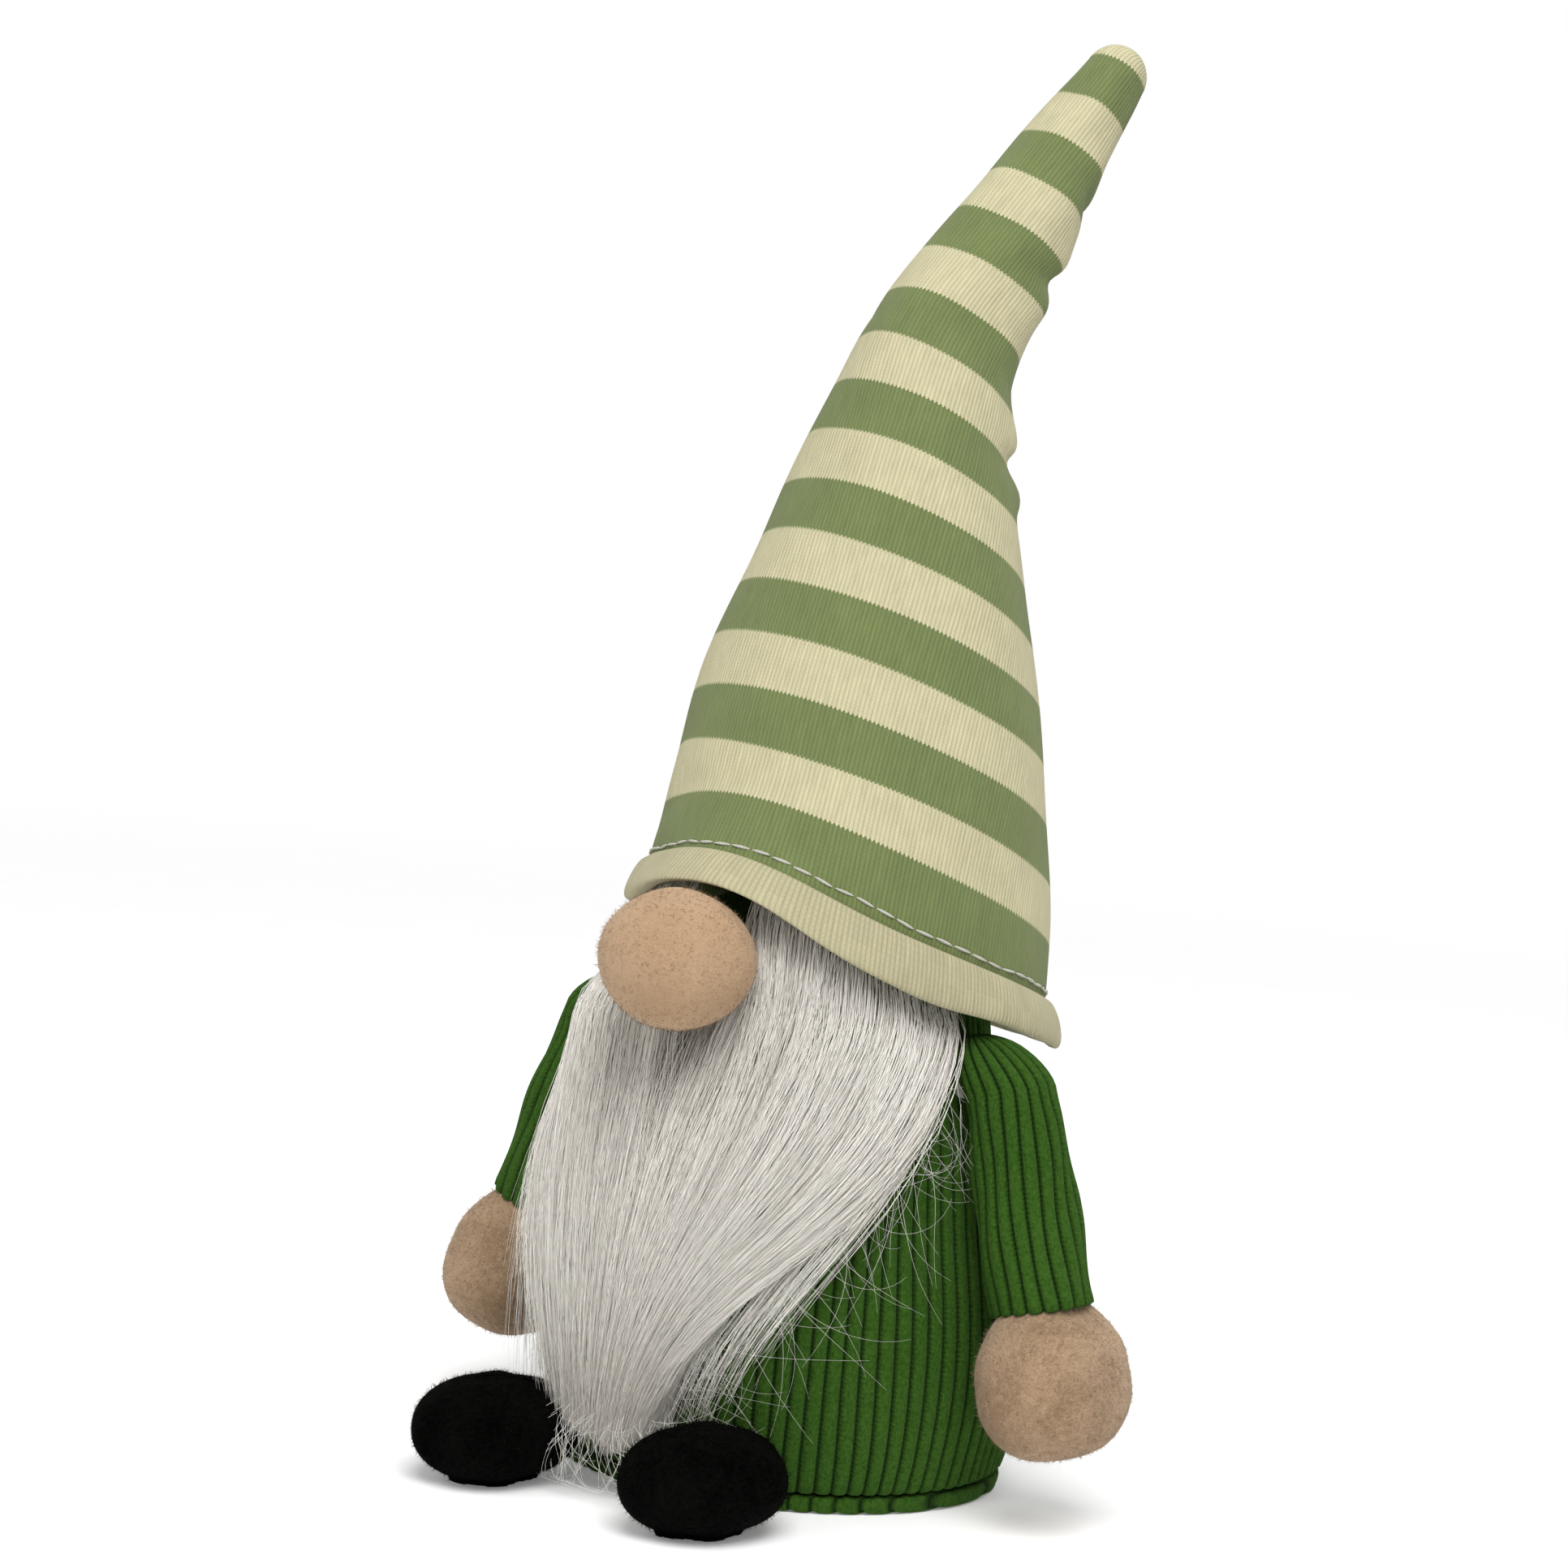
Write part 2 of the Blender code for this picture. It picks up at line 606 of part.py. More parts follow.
def build_arm(build, side, sign):
    """One arm: the thread tack it swings on, its sleeve, its mitten hand and the filling."""
    pivot = Vector((sign * shoulder_offset(), -SHOULDER_FORWARD, SHOULDER_HEIGHT))
    shoulder = build.empty(side + "_shoulder_pivot", pivot)
    arm = build.empty(side + "_arm_pivot", pivot, (0.0, -sign * arm_splay(), 0.0))

    tack_outline = [(0.0, TACK_THICKNESS), (TACK_RADIUS, TACK_THICKNESS), (TACK_RADIUS, 0.0), (0.0, 0.0)]
    tack = turned_solid(build, side + "_shoulder_tack", tack_outline, "stitch_thread", 16)
    tack_face = SLEEVE_TOP_RADIUS + GAP
    hang(tack, shoulder, (-sign * tack_face, 0.0, 0.0))
    tack.rotation_euler = (0.0, -sign * 0.5 * math.pi, 0.0)

    sleeve = turned_shell(build, side + "_sleeve", sleeve_outline(), CORDUROY, "body_corduroy", 16)
    hang(sleeve, arm)

    hand_centre = -(SLEEVE_LENGTH + GAP + HAND_HALF_LENGTH - HAND_TUCK)
    hand = open_ball(build, side + "_hand", (HAND_WIDE, HAND_DEEP, HAND_HALF_LENGTH),
                     (0.0, 0.0, HAND_HALF_LENGTH - HAND_TUCK), (0.0, 0.0, 1.0), FLEECE, "hand_felt", 16, 10)
    hang(hand, arm, (0.0, 0.0, hand_centre))

    filling = turned_solid(build, side + "_arm_stuffing", arm_filling_outline(hand_centre),
                           "polyester_wadding", 12)
    hang(filling, arm)


# Feet


def foot_centre(sign):
    """Centre of a foot, clear of the body's front."""
    back = math.sqrt(body_radius(FOOT_HALF_HEIGHT) ** 2 - (0.8 * FOOT_SPREAD) ** 2)
    return Vector((sign * FOOT_SPREAD, -(back + FOOT_GAP + FOOT_HALF_LENGTH), FOOT_HALF_HEIGHT))


def foot_pivot(sign):
    """The seam that a foot flaps on, at its back end, low down."""
    centre = foot_centre(sign)
    return Vector((centre.x, centre.y + 0.96 * FOOT_HALF_LENGTH, 0.9 * FOOT_HALF_HEIGHT))


def build_foot(build, side, sign):
    """One foot: a fleece upper, a flat sole and the filling."""
    pivot = foot_pivot(sign)
    offset = foot_centre(sign) - pivot
    carrier = build.empty(side + "_foot_pivot", pivot)
    cut = SOLE_THICKNESS + GAP - FOOT_HALF_HEIGHT
    radii = (FOOT_WIDE, FOOT_HALF_LENGTH, FOOT_HALF_HEIGHT)
    upper = open_ball(build, side + "_foot_upper", radii, (0.0, 0.0, cut), (0.0, 0.0, -1.0), FLEECE,
                      "foot_fleece", 16, 10)
    hang(upper, carrier, offset)

    share = math.sqrt(1.0 - (cut / FOOT_HALF_HEIGHT) ** 2)
    bm = bmesh.new()
    bmesh.ops.create_cone(bm, cap_ends=True, segments=24, radius1=0.94, radius2=1.0, depth=SOLE_THICKNESS)
    shape = Matrix.Diagonal((FOOT_WIDE * share, FOOT_HALF_LENGTH * share, 1.0, 1.0))
    bmesh.ops.transform(bm, matrix=shape, verts=bm.verts)
    mesh = bpy.data.meshes.new(side + "_foot_sole")
    bm.to_mesh(mesh)
    bm.free()
    sole = build.add(side + "_foot_sole", mesh, "foot_fleece")
    hang(sole, carrier, offset + Vector((0.0, 0.0, 0.5 * SOLE_THICKNESS - FOOT_HALF_HEIGHT)))

    inset = FLEECE + LOOSE
    filling_mesh = ball_mesh(side + "_foot_stuffing", [r - inset for r in radii], 12, 8)
    filling = build.add(side + "_foot_stuffing", filling_mesh, "polyester_wadding")
    hang(filling, carrier, offset)


# The hat


def hat_outline(low, high, steps, offset=0.0):
    """Points down the straight hat's side from high to low."""
    heights = [mix(high, low, i / steps) for i in range(steps + 1)]
    return [(hat_radius(s) + offset, s) for s in heights]


def tip_outline(offset=0.0, steps=4):
    """The rounded end of the hat, from the axis down to where the cone begins."""
    radius = HAT_TIP_RADIUS + offset
    centre = HAT_LENGTH - HAT_TIP_RADIUS
    turns = [math.radians(mix(90, 0, i / steps)) for i in range(steps + 1)]
    points = [(radius * math.cos(turn), centre + radius * math.sin(turn)) for turn in turns]
    points[0] = (0.0, points[0][1])
    return points


def build_hat(build):
    """The sewn hem, the two stiff lengths of the stuffed hat and the fold between them."""
    pivot = spine_point(HAT_BEND_AT)
    seam = HEM_HEIGHT + GAP
    fold_low = HAT_BEND_AT - FOLD_HALF_HEIGHT
    fold_high = HAT_BEND_AT + FOLD_HALF_HEIGHT
    tip_start = HAT_LENGTH - HAT_TIP_RADIUS
    inset = -(JERSEY + 2.0 * LOOSE)

    outer = HAT_FORM_RADIUS + 0.5 * HEM_THICKNESS
    hem = [
        (outer, HEM_HEIGHT - 0.8 * MM),
        (outer + 0.5 * HEM_FLARE, 0.5 * HEM_HEIGHT),
        (outer + HEM_FLARE, 1.4 * MM),
        (outer + HEM_FLARE - 0.5 * HEM_THICKNESS, 0.0),
        (outer + HEM_FLARE - HEM_THICKNESS, 1.4 * MM),
        (outer - HEM_THICKNESS, HEM_HEIGHT - 0.8 * MM),
        (outer - 0.5 * HEM_THICKNESS, HEM_HEIGHT),
    ]
    seat_on_hat(turned_ring(build, "hat_hem_band", hem, "hat_jersey_cream"))

    lower = hat_outline(seam, fold_low, 7)
    seat_on_hat(turned_shell(build, "hat_lower", lower, JERSEY, "hat_jersey_green", 28))

    thread_at = seam + 1.8 * MM
    thread = round_section(STITCH_RADIUS, hat_radius(thread_at) + GAP + STITCH_RADIUS, thread_at, 6)
    seat_on_hat(turned_ring(build, "hem_topstitch", thread, "stitch_thread", 36))

    fold = hat_outline(fold_low + GAP, fold_high - GAP, 2)
    seat_on_hat(turned_shell(build, "hat_fold", fold, JERSEY, "hat_jersey_green", 24))

    upper = tip_outline() + hat_outline(fold_high, tip_start, 5)[1:]
    carrier = build.empty("hat_top_pivot", pivot)
    shell = seat_on_hat(turned_shell(build, "hat_upper", upper, JERSEY, "hat_jersey_green", 20), pivot)
    hang(shell, carrier)

    core = tip_outline(inset, 3) + hat_outline(fold_high + LOOSE, tip_start, 4, inset)[1:]
    core.append((0.0, fold_high + LOOSE))
    filling = seat_on_hat(turned_solid(build, "hat_stuffing_upper", core, "polyester_wadding", 18), pivot)
    hang(filling, carrier)

    lower_core = [(0.0, fold_low - LOOSE)] + hat_outline(seam + 1.0 * MM, fold_low - LOOSE, 6, inset)
    lower_core.append((0.0, seam + 1.0 * MM))
    wad = seat_on_hat(turned_solid(build, "hat_stuffing_lower", lower_core, "polyester_wadding", 24))
    head = crown_outline(LOOSE, 4) + [(HEAD_RADIUS + LOOSE, 0.8 * HEAD_HEIGHT), (0.0, 0.8 * HEAD_HEIGHT)]
    head_cutter = build.cutter("head_room", outline_mesh("head_room", head))
    add_screw(head_cutter, 24)
    bake(head_cutter)
    boolean(wad, head_cutter, "DIFFERENCE")


def main():
    """Builds the whole gnome."""
    clear_scene()
    build = Builder("tomte_gnome")
    build_body(build)
    build_nose(build)
    build_beard(build)
    for side, sign in (("left", 1.0), ("right", -1.0)):
        build_arm(build, side, sign)
        build_foot(build, side, sign)
    build_hat(build)
    bpy.context.view_layer.update()


main()
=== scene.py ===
"""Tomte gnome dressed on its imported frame: a knitted striped hat, ribbed corduroy, felt and long fur.

Sizes are in metres. Every piece stands in the frame's own axes: +Z is up, the gnome faces -Y and +X is its
left. An angle round the gnome is 0 at the front and grows towards its left.
"""

import json
import logging
import math
from dataclasses import dataclass, field
from enum import Enum
from typing import Any, Mapping, Sequence

import bmesh
import bpy
import numpy as np
from mathutils import Matrix, Vector


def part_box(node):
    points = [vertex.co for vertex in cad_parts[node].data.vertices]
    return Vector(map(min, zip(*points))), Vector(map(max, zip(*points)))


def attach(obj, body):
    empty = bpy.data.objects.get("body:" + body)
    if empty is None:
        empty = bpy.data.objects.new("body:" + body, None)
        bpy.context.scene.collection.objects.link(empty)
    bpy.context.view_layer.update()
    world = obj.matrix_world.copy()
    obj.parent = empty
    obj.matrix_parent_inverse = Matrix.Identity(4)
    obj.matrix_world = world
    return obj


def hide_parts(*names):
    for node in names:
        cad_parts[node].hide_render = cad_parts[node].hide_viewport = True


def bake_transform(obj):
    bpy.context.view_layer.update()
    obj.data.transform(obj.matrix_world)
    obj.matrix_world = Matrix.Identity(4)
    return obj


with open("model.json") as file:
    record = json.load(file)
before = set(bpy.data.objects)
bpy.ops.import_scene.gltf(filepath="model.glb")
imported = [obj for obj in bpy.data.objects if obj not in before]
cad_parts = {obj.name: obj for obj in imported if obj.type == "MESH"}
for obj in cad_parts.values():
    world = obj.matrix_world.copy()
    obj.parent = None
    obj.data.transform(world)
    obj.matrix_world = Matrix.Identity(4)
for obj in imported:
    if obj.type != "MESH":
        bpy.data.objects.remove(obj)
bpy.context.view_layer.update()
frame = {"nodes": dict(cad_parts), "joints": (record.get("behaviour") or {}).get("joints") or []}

Array = np.ndarray
Colour = tuple[float, float, float]
MM = 0.001
TURN = 2.0 * math.pi
UV_NAME = "UVMap"
SHEEN_ROUGHNESS = 0.45
RIB_FLATNESS = 3.6
log = logging.getLogger("tomte")


class Slot(Enum):
    """The record's material slots."""

    CORDUROY = "body_corduroy"
    HAT_GREEN = "hat_jersey_green"
    HAT_CREAM = "hat_jersey_cream"
    FUR = "beard_fur"
    BACKING = "knit_backing"
    NOSE = "nose_fleece"
    HAND = "hand_felt"
    FOOT = "foot_fleece"
    WADDING = "polyester_wadding"
    BAG = "pellet_bag"
    BOARD = "stiffener_board"
    THREAD = "stitch_thread"


class Side(Enum):
    """The gnome's own left and right, with the sign of X."""

    LEFT = 1.0
    RIGHT = -1.0

    @property
    def word(self) -> str:
        """The side's name as the frame spells it."""
        return self.name.lower()


# Small sums


def mix(a: Any, b: Any, t: Any) -> Any:
    """Blends from a to b as t goes from 0 to 1."""
    return a + (b - a) * t


def smooth(t: Any) -> Any:
    """An S-shaped step, held at 0 and at 1."""
    t = np.clip(t, 0.0, 1.0)
    return t * t * (3.0 - 2.0 * t)


def hump(value: Any, centre: float, width: float) -> Any:
    """A soft bump of height 1 round a centre."""
    return np.exp(-(((value - centre) / width) ** 2))


def around_gap(angle: Any, centre: float) -> Any:
    """The signed angle from a centre, taken the short way round."""
    return (angle - centre + math.pi) % TURN - math.pi


def polar(angle: Any, radius: Any, z: Any) -> Array:
    """Points at an angle round the gnome, 0 at the front."""
    angle, radius, z = np.broadcast_arrays(angle, radius, z)
    return np.stack([radius * np.sin(angle), -radius * np.cos(angle), z], axis=-1)


def unit(vectors: Array) -> Array:
    """Vectors brought to length 1."""
    return vectors / np.linalg.norm(vectors, axis=-1, keepdims=True)


# Nodes


class Bench:
    """Adds nodes to one tree, feeds them and joins them."""

    def __init__(self, tree: bpy.types.NodeTree) -> None:
        """Starts with the tree to work on."""
        self.tree = tree

    def node(self, kind: str, feeds: Mapping[Any, Any] | None = None, **settings: Any) -> bpy.types.Node:
        """Adds a node.

        Args:
            kind: The node's type.
            feeds: Values or sockets for its inputs, by name or number.
            settings: The node's own properties.

        Returns:
            The node.
        """
        node = self.tree.nodes.new(kind)
        for key, value in settings.items():
            setattr(node, key, value)
        for key, value in (feeds or {}).items():
            if isinstance(value, bpy.types.NodeSocket):
                self.tree.links.new(value, node.inputs[key])
            else:
                node.inputs[key].default_value = value
        return node

    def sum(self, operation: str, *values: Any, clamp: bool = False) -> bpy.types.NodeSocket:
        """One step of arithmetic on numbers or sockets."""
        feeds = dict(enumerate(values))
        return self.node("ShaderNodeMath", feeds, operation=operation, use_clamp=clamp).outputs[0]

    def blend(self, factor: Any, a: Any, b: Any) -> bpy.types.NodeSocket:
        """Mixes two numbers."""
        return self.node("ShaderNodeMix", {0: factor, 2: a, 3: b}).outputs[0]

    def tint(self, factor: Any, a: Any, b: Any, mode: str = "MIX") -> bpy.types.NodeSocket:
        """Mixes two colours, each a socket or three linear values."""
        feeds = {0: factor, 6: self.colour(a), 7: self.colour(b)}
        return self.node("ShaderNodeMix", feeds, data_type="RGBA", blend_type=mode).outputs[2]

    @staticmethod
    def colour(value: Any) -> Any:
        """Gives a plain colour its fourth value."""
        return (*value, 1.0) if isinstance(value, tuple) and len(value) == 3 else value

    def remap(self, value: Any, low: float, high: float, to_low: Any = 0.0, to_high: Any = 1.0) -> Any:
        """Carries a value from one range to another and holds it there."""
        feeds = {0: value, 1: low, 2: high, 3: to_low, 4: to_high}
        return self.node("ShaderNodeMapRange", feeds).outputs[0]

    def noise(self, vector: Any, scale: float, detail: float = 2.0, roughness: float = 0.5) -> Any:
        """Soft noise from 0 to 1."""
        feeds = {"Vector": vector, "Scale": scale, "Detail": detail, "Roughness": roughness}
        return self.node("ShaderNodeTexNoise", feeds).outputs[0]

    def stretch(self, vector: Any, scale: Sequence[float]) -> bpy.types.NodeSocket:
        """Scales a vector by axis."""
        feeds = {0: vector, 1: tuple(scale)}
        return self.node("ShaderNodeVectorMath", feeds, operation="MULTIPLY").outputs[0]

    def place(self) -> bpy.types.NodeSocket:
        """The point in the object's own axes."""
        return self.node("ShaderNodeTexCoord").outputs["Object"]

    def uv(self) -> tuple[Any, Any, Any]:
        """The piece's own cloth coordinates: the vector, across and along.

        Returns:
            The vector, across and along.
        """
        vector = self.node("ShaderNodeUVMap", uv_map=UV_NAME).outputs[0]
        parts = self.node("ShaderNodeSeparateXYZ", {0: vector}).outputs
        return vector, parts[0], parts[1]

    def saw(self, value: Any) -> bpy.types.NodeSocket:
        """How far a value is from the middle of its whole step: 0 in the middle, 1 at both ends."""
        part = self.sum("FRACT", value)
        return self.sum("ABSOLUTE", self.sum("MULTIPLY_ADD", part, 2.0, -1.0))


# Finishes


@dataclass(frozen=True)
class Surface:
    """What a finish draws: its colour, its relief from 0 to 1 and the depth of that relief."""

    colour: Any
    relief: Any
    depth: float


@dataclass(frozen=True)
class Finish:
    """A material made of nodes. Each kind of cloth draws its own surface."""

    name: str
    slot: Slot
    rough: tuple[float, float] = (0.95, 0.8)
    sheen: float = 0.0
    sheen_tint: Colour = (1.0, 1.0, 1.0)
    gloss: float = 0.25

    def surface(self, bench: Bench) -> Surface:
        """Draws the cloth. Every finish has its own."""
        raise NotImplementedError

    def material(self) -> bpy.types.Material:
        """Makes the material, or gives the one already made.

        Returns:
            The material.
        """
        made = bpy.data.materials.get(self.name)
        if made is not None:
            return made
        material = bpy.data.materials.new(self.name)
        material.use_nodes = True
        material.node_tree.nodes.clear()
        bench = Bench(material.node_tree)
        surface = self.surface(bench)
        bump = bench.node("ShaderNodeBump", {
            "Strength": 1.0, "Distance": surface.depth, "Height": surface.relief,
        })
        shader = bench.node("ShaderNodeBsdfPrincipled", {
            "Base Color": surface.colour,
            "Roughness": bench.remap(surface.relief, 0.0, 1.0, *self.rough),
            "Normal": bump.outputs[0],
            "Sheen Weight": self.sheen,
            "Sheen Roughness": SHEEN_ROUGHNESS,
            "Sheen Tint": (*self.sheen_tint, 1.0),
            "Specular IOR Level": self.gloss,
        })
        bench.node("ShaderNodeOutputMaterial", {0: shader.outputs[0]})
        return material


@dataclass(frozen=True)
class Jersey(Finish):
    """Fine single jersey: columns of small V stitches, plain or with knitted stripes."""

    green: Colour = (0.148, 0.186, 0.066)
    cream: Colour = (0.500, 0.464, 0.290)
    striped: bool = True
    wale: float = 0.92 * MM
    course: float = 0.80 * MM
    stripe: float = 11.74 * MM
    first_stripe: float = 20.1 * MM

    def surface(self, bench: Bench) -> Surface:
        """Stitches in columns, each leg of a V a little raised, with painted shade where the relief is low,
        and the stripes' edges stepped by stitch.

        Args:
            bench: The nodes that the cloth is drawn with.

        Returns:
            The cloth's colour, relief and depth.
        """
        vector, across, along = bench.uv()
        leg = bench.saw(bench.sum("DIVIDE", across, self.wale))
        climb = bench.sum("MULTIPLY_ADD", leg, -0.8 * self.course, along)
        gap = bench.saw(bench.sum("DIVIDE", climb, self.course))
        round_column = bench.sum("SUBTRACT", 1.0, bench.sum("POWER", leg, 2.0))
        round_stitch = bench.sum("SUBTRACT", 1.0, bench.sum("POWER", gap, 4.0))
        relief = bench.sum("MULTIPLY", round_column, bench.sum("MULTIPLY_ADD", round_stitch, 0.45, 0.55))
        yarn = bench.noise(bench.stretch(vector, (1.0 / self.wale, 0.12 / self.course, 1.0)), 1.0, 2.0, 0.6)
        patch = bench.noise(vector, 90.0, 3.0, 0.6)
        colour: Any = self.cream
        if self.striped:
            row = bench.sum("DIVIDE", bench.sum("SUBTRACT", climb, self.first_stripe), 2.0 * self.stripe)
            is_green = bench.sum("GREATER_THAN", bench.sum("FRACT", row), 0.5)
            colour = bench.tint(is_green, self.cream, self.green)
        # Painted shade: the colour is darker where the stitch relief is low, between columns and stitches;
        # the yarn and patch noise are the yarn's own tone.
        shade = bench.sum("MULTIPLY", bench.remap(relief, 0.0, 0.9, 0.80, 1.05),
                          bench.remap(yarn, 0.25, 0.75, 0.90, 1.09))
        shade = bench.sum("MULTIPLY", shade, bench.remap(patch, 0.3, 0.7, 0.95, 1.05))
        fluff = bench.noise(bench.place(), 2600.0, 3.0, 0.7)
        relief = bench.sum("MULTIPLY_ADD", fluff, 0.25, relief)
        return Surface(shaded(bench, colour, shade), relief, 0.15 * MM)


@dataclass(frozen=True)
class Corduroy(Finish):
    """Wide-wale corduroy: brushed pile on each rib, and a dark furrow with the ground's fine rungs, its
    darkness partly the bare ground and partly painted shade.
    """

    pile: Colour = (0.024, 0.072, 0.0065)
    light_pile: Colour = (0.050, 0.122, 0.016)
    # Partly painted shade: far darker than the pile, for the shade in the furrows.
    furrow: Colour = (0.004, 0.014, 0.002)
    rung: float = 0.95 * MM

    def surface(self, bench: Bench) -> Surface:
        """Pile and furrows; across counts ribs and along is in metres.

        Args:
            bench: The nodes that the cloth is drawn with.

        Returns:
            The cloth's colour, relief and depth.
        """
        vector, across, along = bench.uv()
        edge = bench.saw(across)
        in_furrow = bench.remap(edge, 0.66, 0.97)
        rungs = bench.saw(bench.sum("DIVIDE", along, self.rung))
        brushed = bench.noise(bench.stretch(vector, (9.0, 900.0, 1.0)), 1.0, 3.0, 0.65)
        tufts = bench.noise(bench.place(), 1150.0, 4.0, 0.78)
        worn = bench.noise(bench.place(), 60.0, 2.0, 0.5)
        fibre = bench.sum("MULTIPLY_ADD", tufts, 0.6, bench.sum("MULTIPLY", brushed, 0.4))
        lit = bench.sum("MULTIPLY_ADD", worn, 0.5, bench.remap(fibre, 0.38, 0.62, -0.35, 0.85))
        pile = bench.tint(bench.sum("ADD", lit, 0.0, clamp=True), self.pile, self.light_pile)
        # Furrow colour: the bare ground between the ribs, darkened far below the pile as painted shade in the
        # groove.
        ground = bench.tint(bench.remap(rungs, 0.2, 0.9), self.furrow, self.pile)
        ground = bench.tint(0.35, self.furrow, ground)
        colour = bench.tint(in_furrow, pile, ground)
        step = bench.sum("MULTIPLY", bench.sum("POWER", rungs, 2.0), bench.remap(edge, 0.3, 0.9, 0.0, 0.5))
        relief = bench.sum("MULTIPLY_ADD", fibre, 0.9, bench.sum("MULTIPLY", step, -0.5))
        return Surface(colour, relief, 1.1 * MM)


@dataclass(frozen=True)
class Felt(Finish):
    """Brushed fleece or felt: short matted fibres with mottled tone."""

    light: Colour = (0.66, 0.47, 0.33)
    dark: Colour = (0.50, 0.34, 0.22)
    fleck: float = 0.8
    spread: float = 0.085
    mat: float = 750.0
    depth: float = 0.8 * MM

    def surface(self, bench: Bench) -> Surface:
        """Matted fibres at three scales; a higher fleck gives a stronger mottle.

        Args:
            bench: The nodes that the cloth is drawn with.

        Returns:
            The cloth's colour, relief and depth.
        """
        place = bench.place()
        matted = bench.noise(place, self.mat, 4.0, 0.68)
        hairs = bench.noise(bench.stretch(place, (1.0, 0.35, 1.0)), 3.2 * self.mat, 3.0, 0.7)
        broad = bench.noise(place, 0.12 * self.mat, 2.0, 0.5)
        tone = bench.sum("MULTIPLY_ADD", broad, 0.35, bench.sum("MULTIPLY", matted, 0.3))
        tone = bench.sum("MULTIPLY_ADD", hairs, 0.35, tone)
        reach = 0.5 - self.spread / self.fleck
        colour = bench.tint(bench.remap(tone, reach, 1.0 - reach), self.dark, self.light)
        relief = bench.sum("MULTIPLY_ADD", matted, 0.6, bench.sum("MULTIPLY", hairs, 0.4))
        return Surface(colour, relief, self.depth)


@dataclass(frozen=True)
class Fur(Finish):
    """Long silky pile. Each strand carries its own tone, which holds random tone and painted shade: darker
    towards the roots, on low-lying strands and towards the bottom.
    """

    root: Colour = (0.62, 0.585, 0.52)
    tip: Colour = (0.95, 0.925, 0.87)

    def surface(self, bench: Bench) -> Surface:
        """The strand's tone, with a fine streak along the hang of the hair.

        Args:
            bench: The nodes that the cloth is drawn with.

        Returns:
            The cloth's colour, relief and depth.
        """
        tone = bench.node("ShaderNodeAttribute", attribute_name="tone").outputs["Fac"]
        streak = bench.noise(bench.stretch(bench.place(), (1.0, 1.0, 0.08)), 1400.0, 2.0, 0.6)
        blend = bench.sum("ADD", tone, bench.remap(streak, 0.3, 0.7, -0.12, 0.12), clamp=True)
        return Surface(bench.tint(blend, self.root, self.tip), streak, 0.12 * MM)


@dataclass(frozen=True)
class Thread(Finish):
    """Twisted sewing thread."""

    colour: Colour = (0.62, 0.61, 0.54)
    ply: float = 0.5 * MM

    def surface(self, bench: Bench) -> Surface:
        """A slanting ply with a little fluff.

        Args:
            bench: The nodes that the cloth is drawn with.

        Returns:
            The cloth's colour, relief and depth.
        """
        place = bench.place()
        parts = bench.node("ShaderNodeSeparateXYZ", {0: place}).outputs
        slant = bench.sum("ADD", parts[0], bench.sum("ADD", parts[1], parts[2]))
        twist = bench.saw(bench.sum("DIVIDE", slant, self.ply))
        fluff = bench.noise(place, 3500.0, 2.0, 0.6)
        # Painted shade: the colour is darker in the grooves between the plies, with a little fluff noise.
        shade = bench.remap(bench.sum("MULTIPLY_ADD", fluff, 0.5, twist), 0.0, 1.4, 0.75, 1.1)
        return Surface(shaded(bench, self.colour, shade), twist, 0.12 * MM)


@dataclass(frozen=True)
class PlainCloth(Finish):
    """A hidden filling or lining: mottled colour with a fine grain."""

    light: Colour = (0.85, 0.85, 0.82)
    dark: Colour = (0.70, 0.70, 0.67)
    grain: float = 600.0
    depth: float = 0.4 * MM

    def surface(self, bench: Bench) -> Surface:
        """Broad mottling under a fine grain.

        Args:
            bench: The nodes that the cloth is drawn with.

        Returns:
            The cloth's colour, relief and depth.
        """
        place = bench.place()
        fine = bench.noise(place, self.grain, 4.0, 0.6)
        broad = bench.noise(place, 0.15 * self.grain, 2.0, 0.5)
        mottle = bench.sum("MULTIPLY_ADD", fine, 0.6, bench.sum("MULTIPLY", broad, 0.4))
        colour = bench.tint(mottle, self.dark, self.light)
        return Surface(colour, fine, self.depth)


def shaded(bench: Bench, colour: Any, shade: Any) -> Any:
    """A colour multiplied by a number."""
    grey = bench.node("ShaderNodeCombineColor", {0: shade, 1: shade, 2: shade}).outputs[0]
    return bench.tint(1.0, colour, grey, "MULTIPLY")


STRIPED_JERSEY = Jersey("striped_jersey", Slot.HAT_GREEN, (0.98, 0.86), 0.12, (0.9, 0.9, 0.7))
# The hem's cream is darker than the hat's cream: painted shade for the hem, which curls under away from the
# light.
HEM_JERSEY_PAINTED_SHADE = Jersey("cream_jersey", Slot.HAT_CREAM, (0.98, 0.86), 0.12, (1.0, 1.0, 0.85), striped=False,
                      cream=(0.405, 0.372, 0.232))
GREEN_CORDUROY = Corduroy("green_corduroy", Slot.CORDUROY, (0.98, 0.85), 0.05, (0.45, 0.8, 0.35), 0.06)
NOSE_FLEECE = Felt("peach_fleece", Slot.NOSE, (0.98, 0.88), 0.25, (1.0, 0.85, 0.7), 0.15,
                   light=(0.475, 0.325, 0.200), dark=(0.385, 0.245, 0.140), fleck=0.55)
HAND_FELT = Felt("tan_felt", Slot.HAND, (0.98, 0.88), 0.25, (1.0, 0.88, 0.75), 0.15,
                 light=(0.395, 0.270, 0.168), dark=(0.25, 0.160, 0.092), fleck=1.15)
FOOT_FLEECE = Felt("black_fleece", Slot.FOOT, (0.98, 0.9), 0.008, (0.5, 0.48, 0.46), 0.012,
                   light=(0.0038, 0.0036, 0.0033), dark=(0.0004, 0.0004, 0.0003), mat=520.0, depth=1.6 * MM)
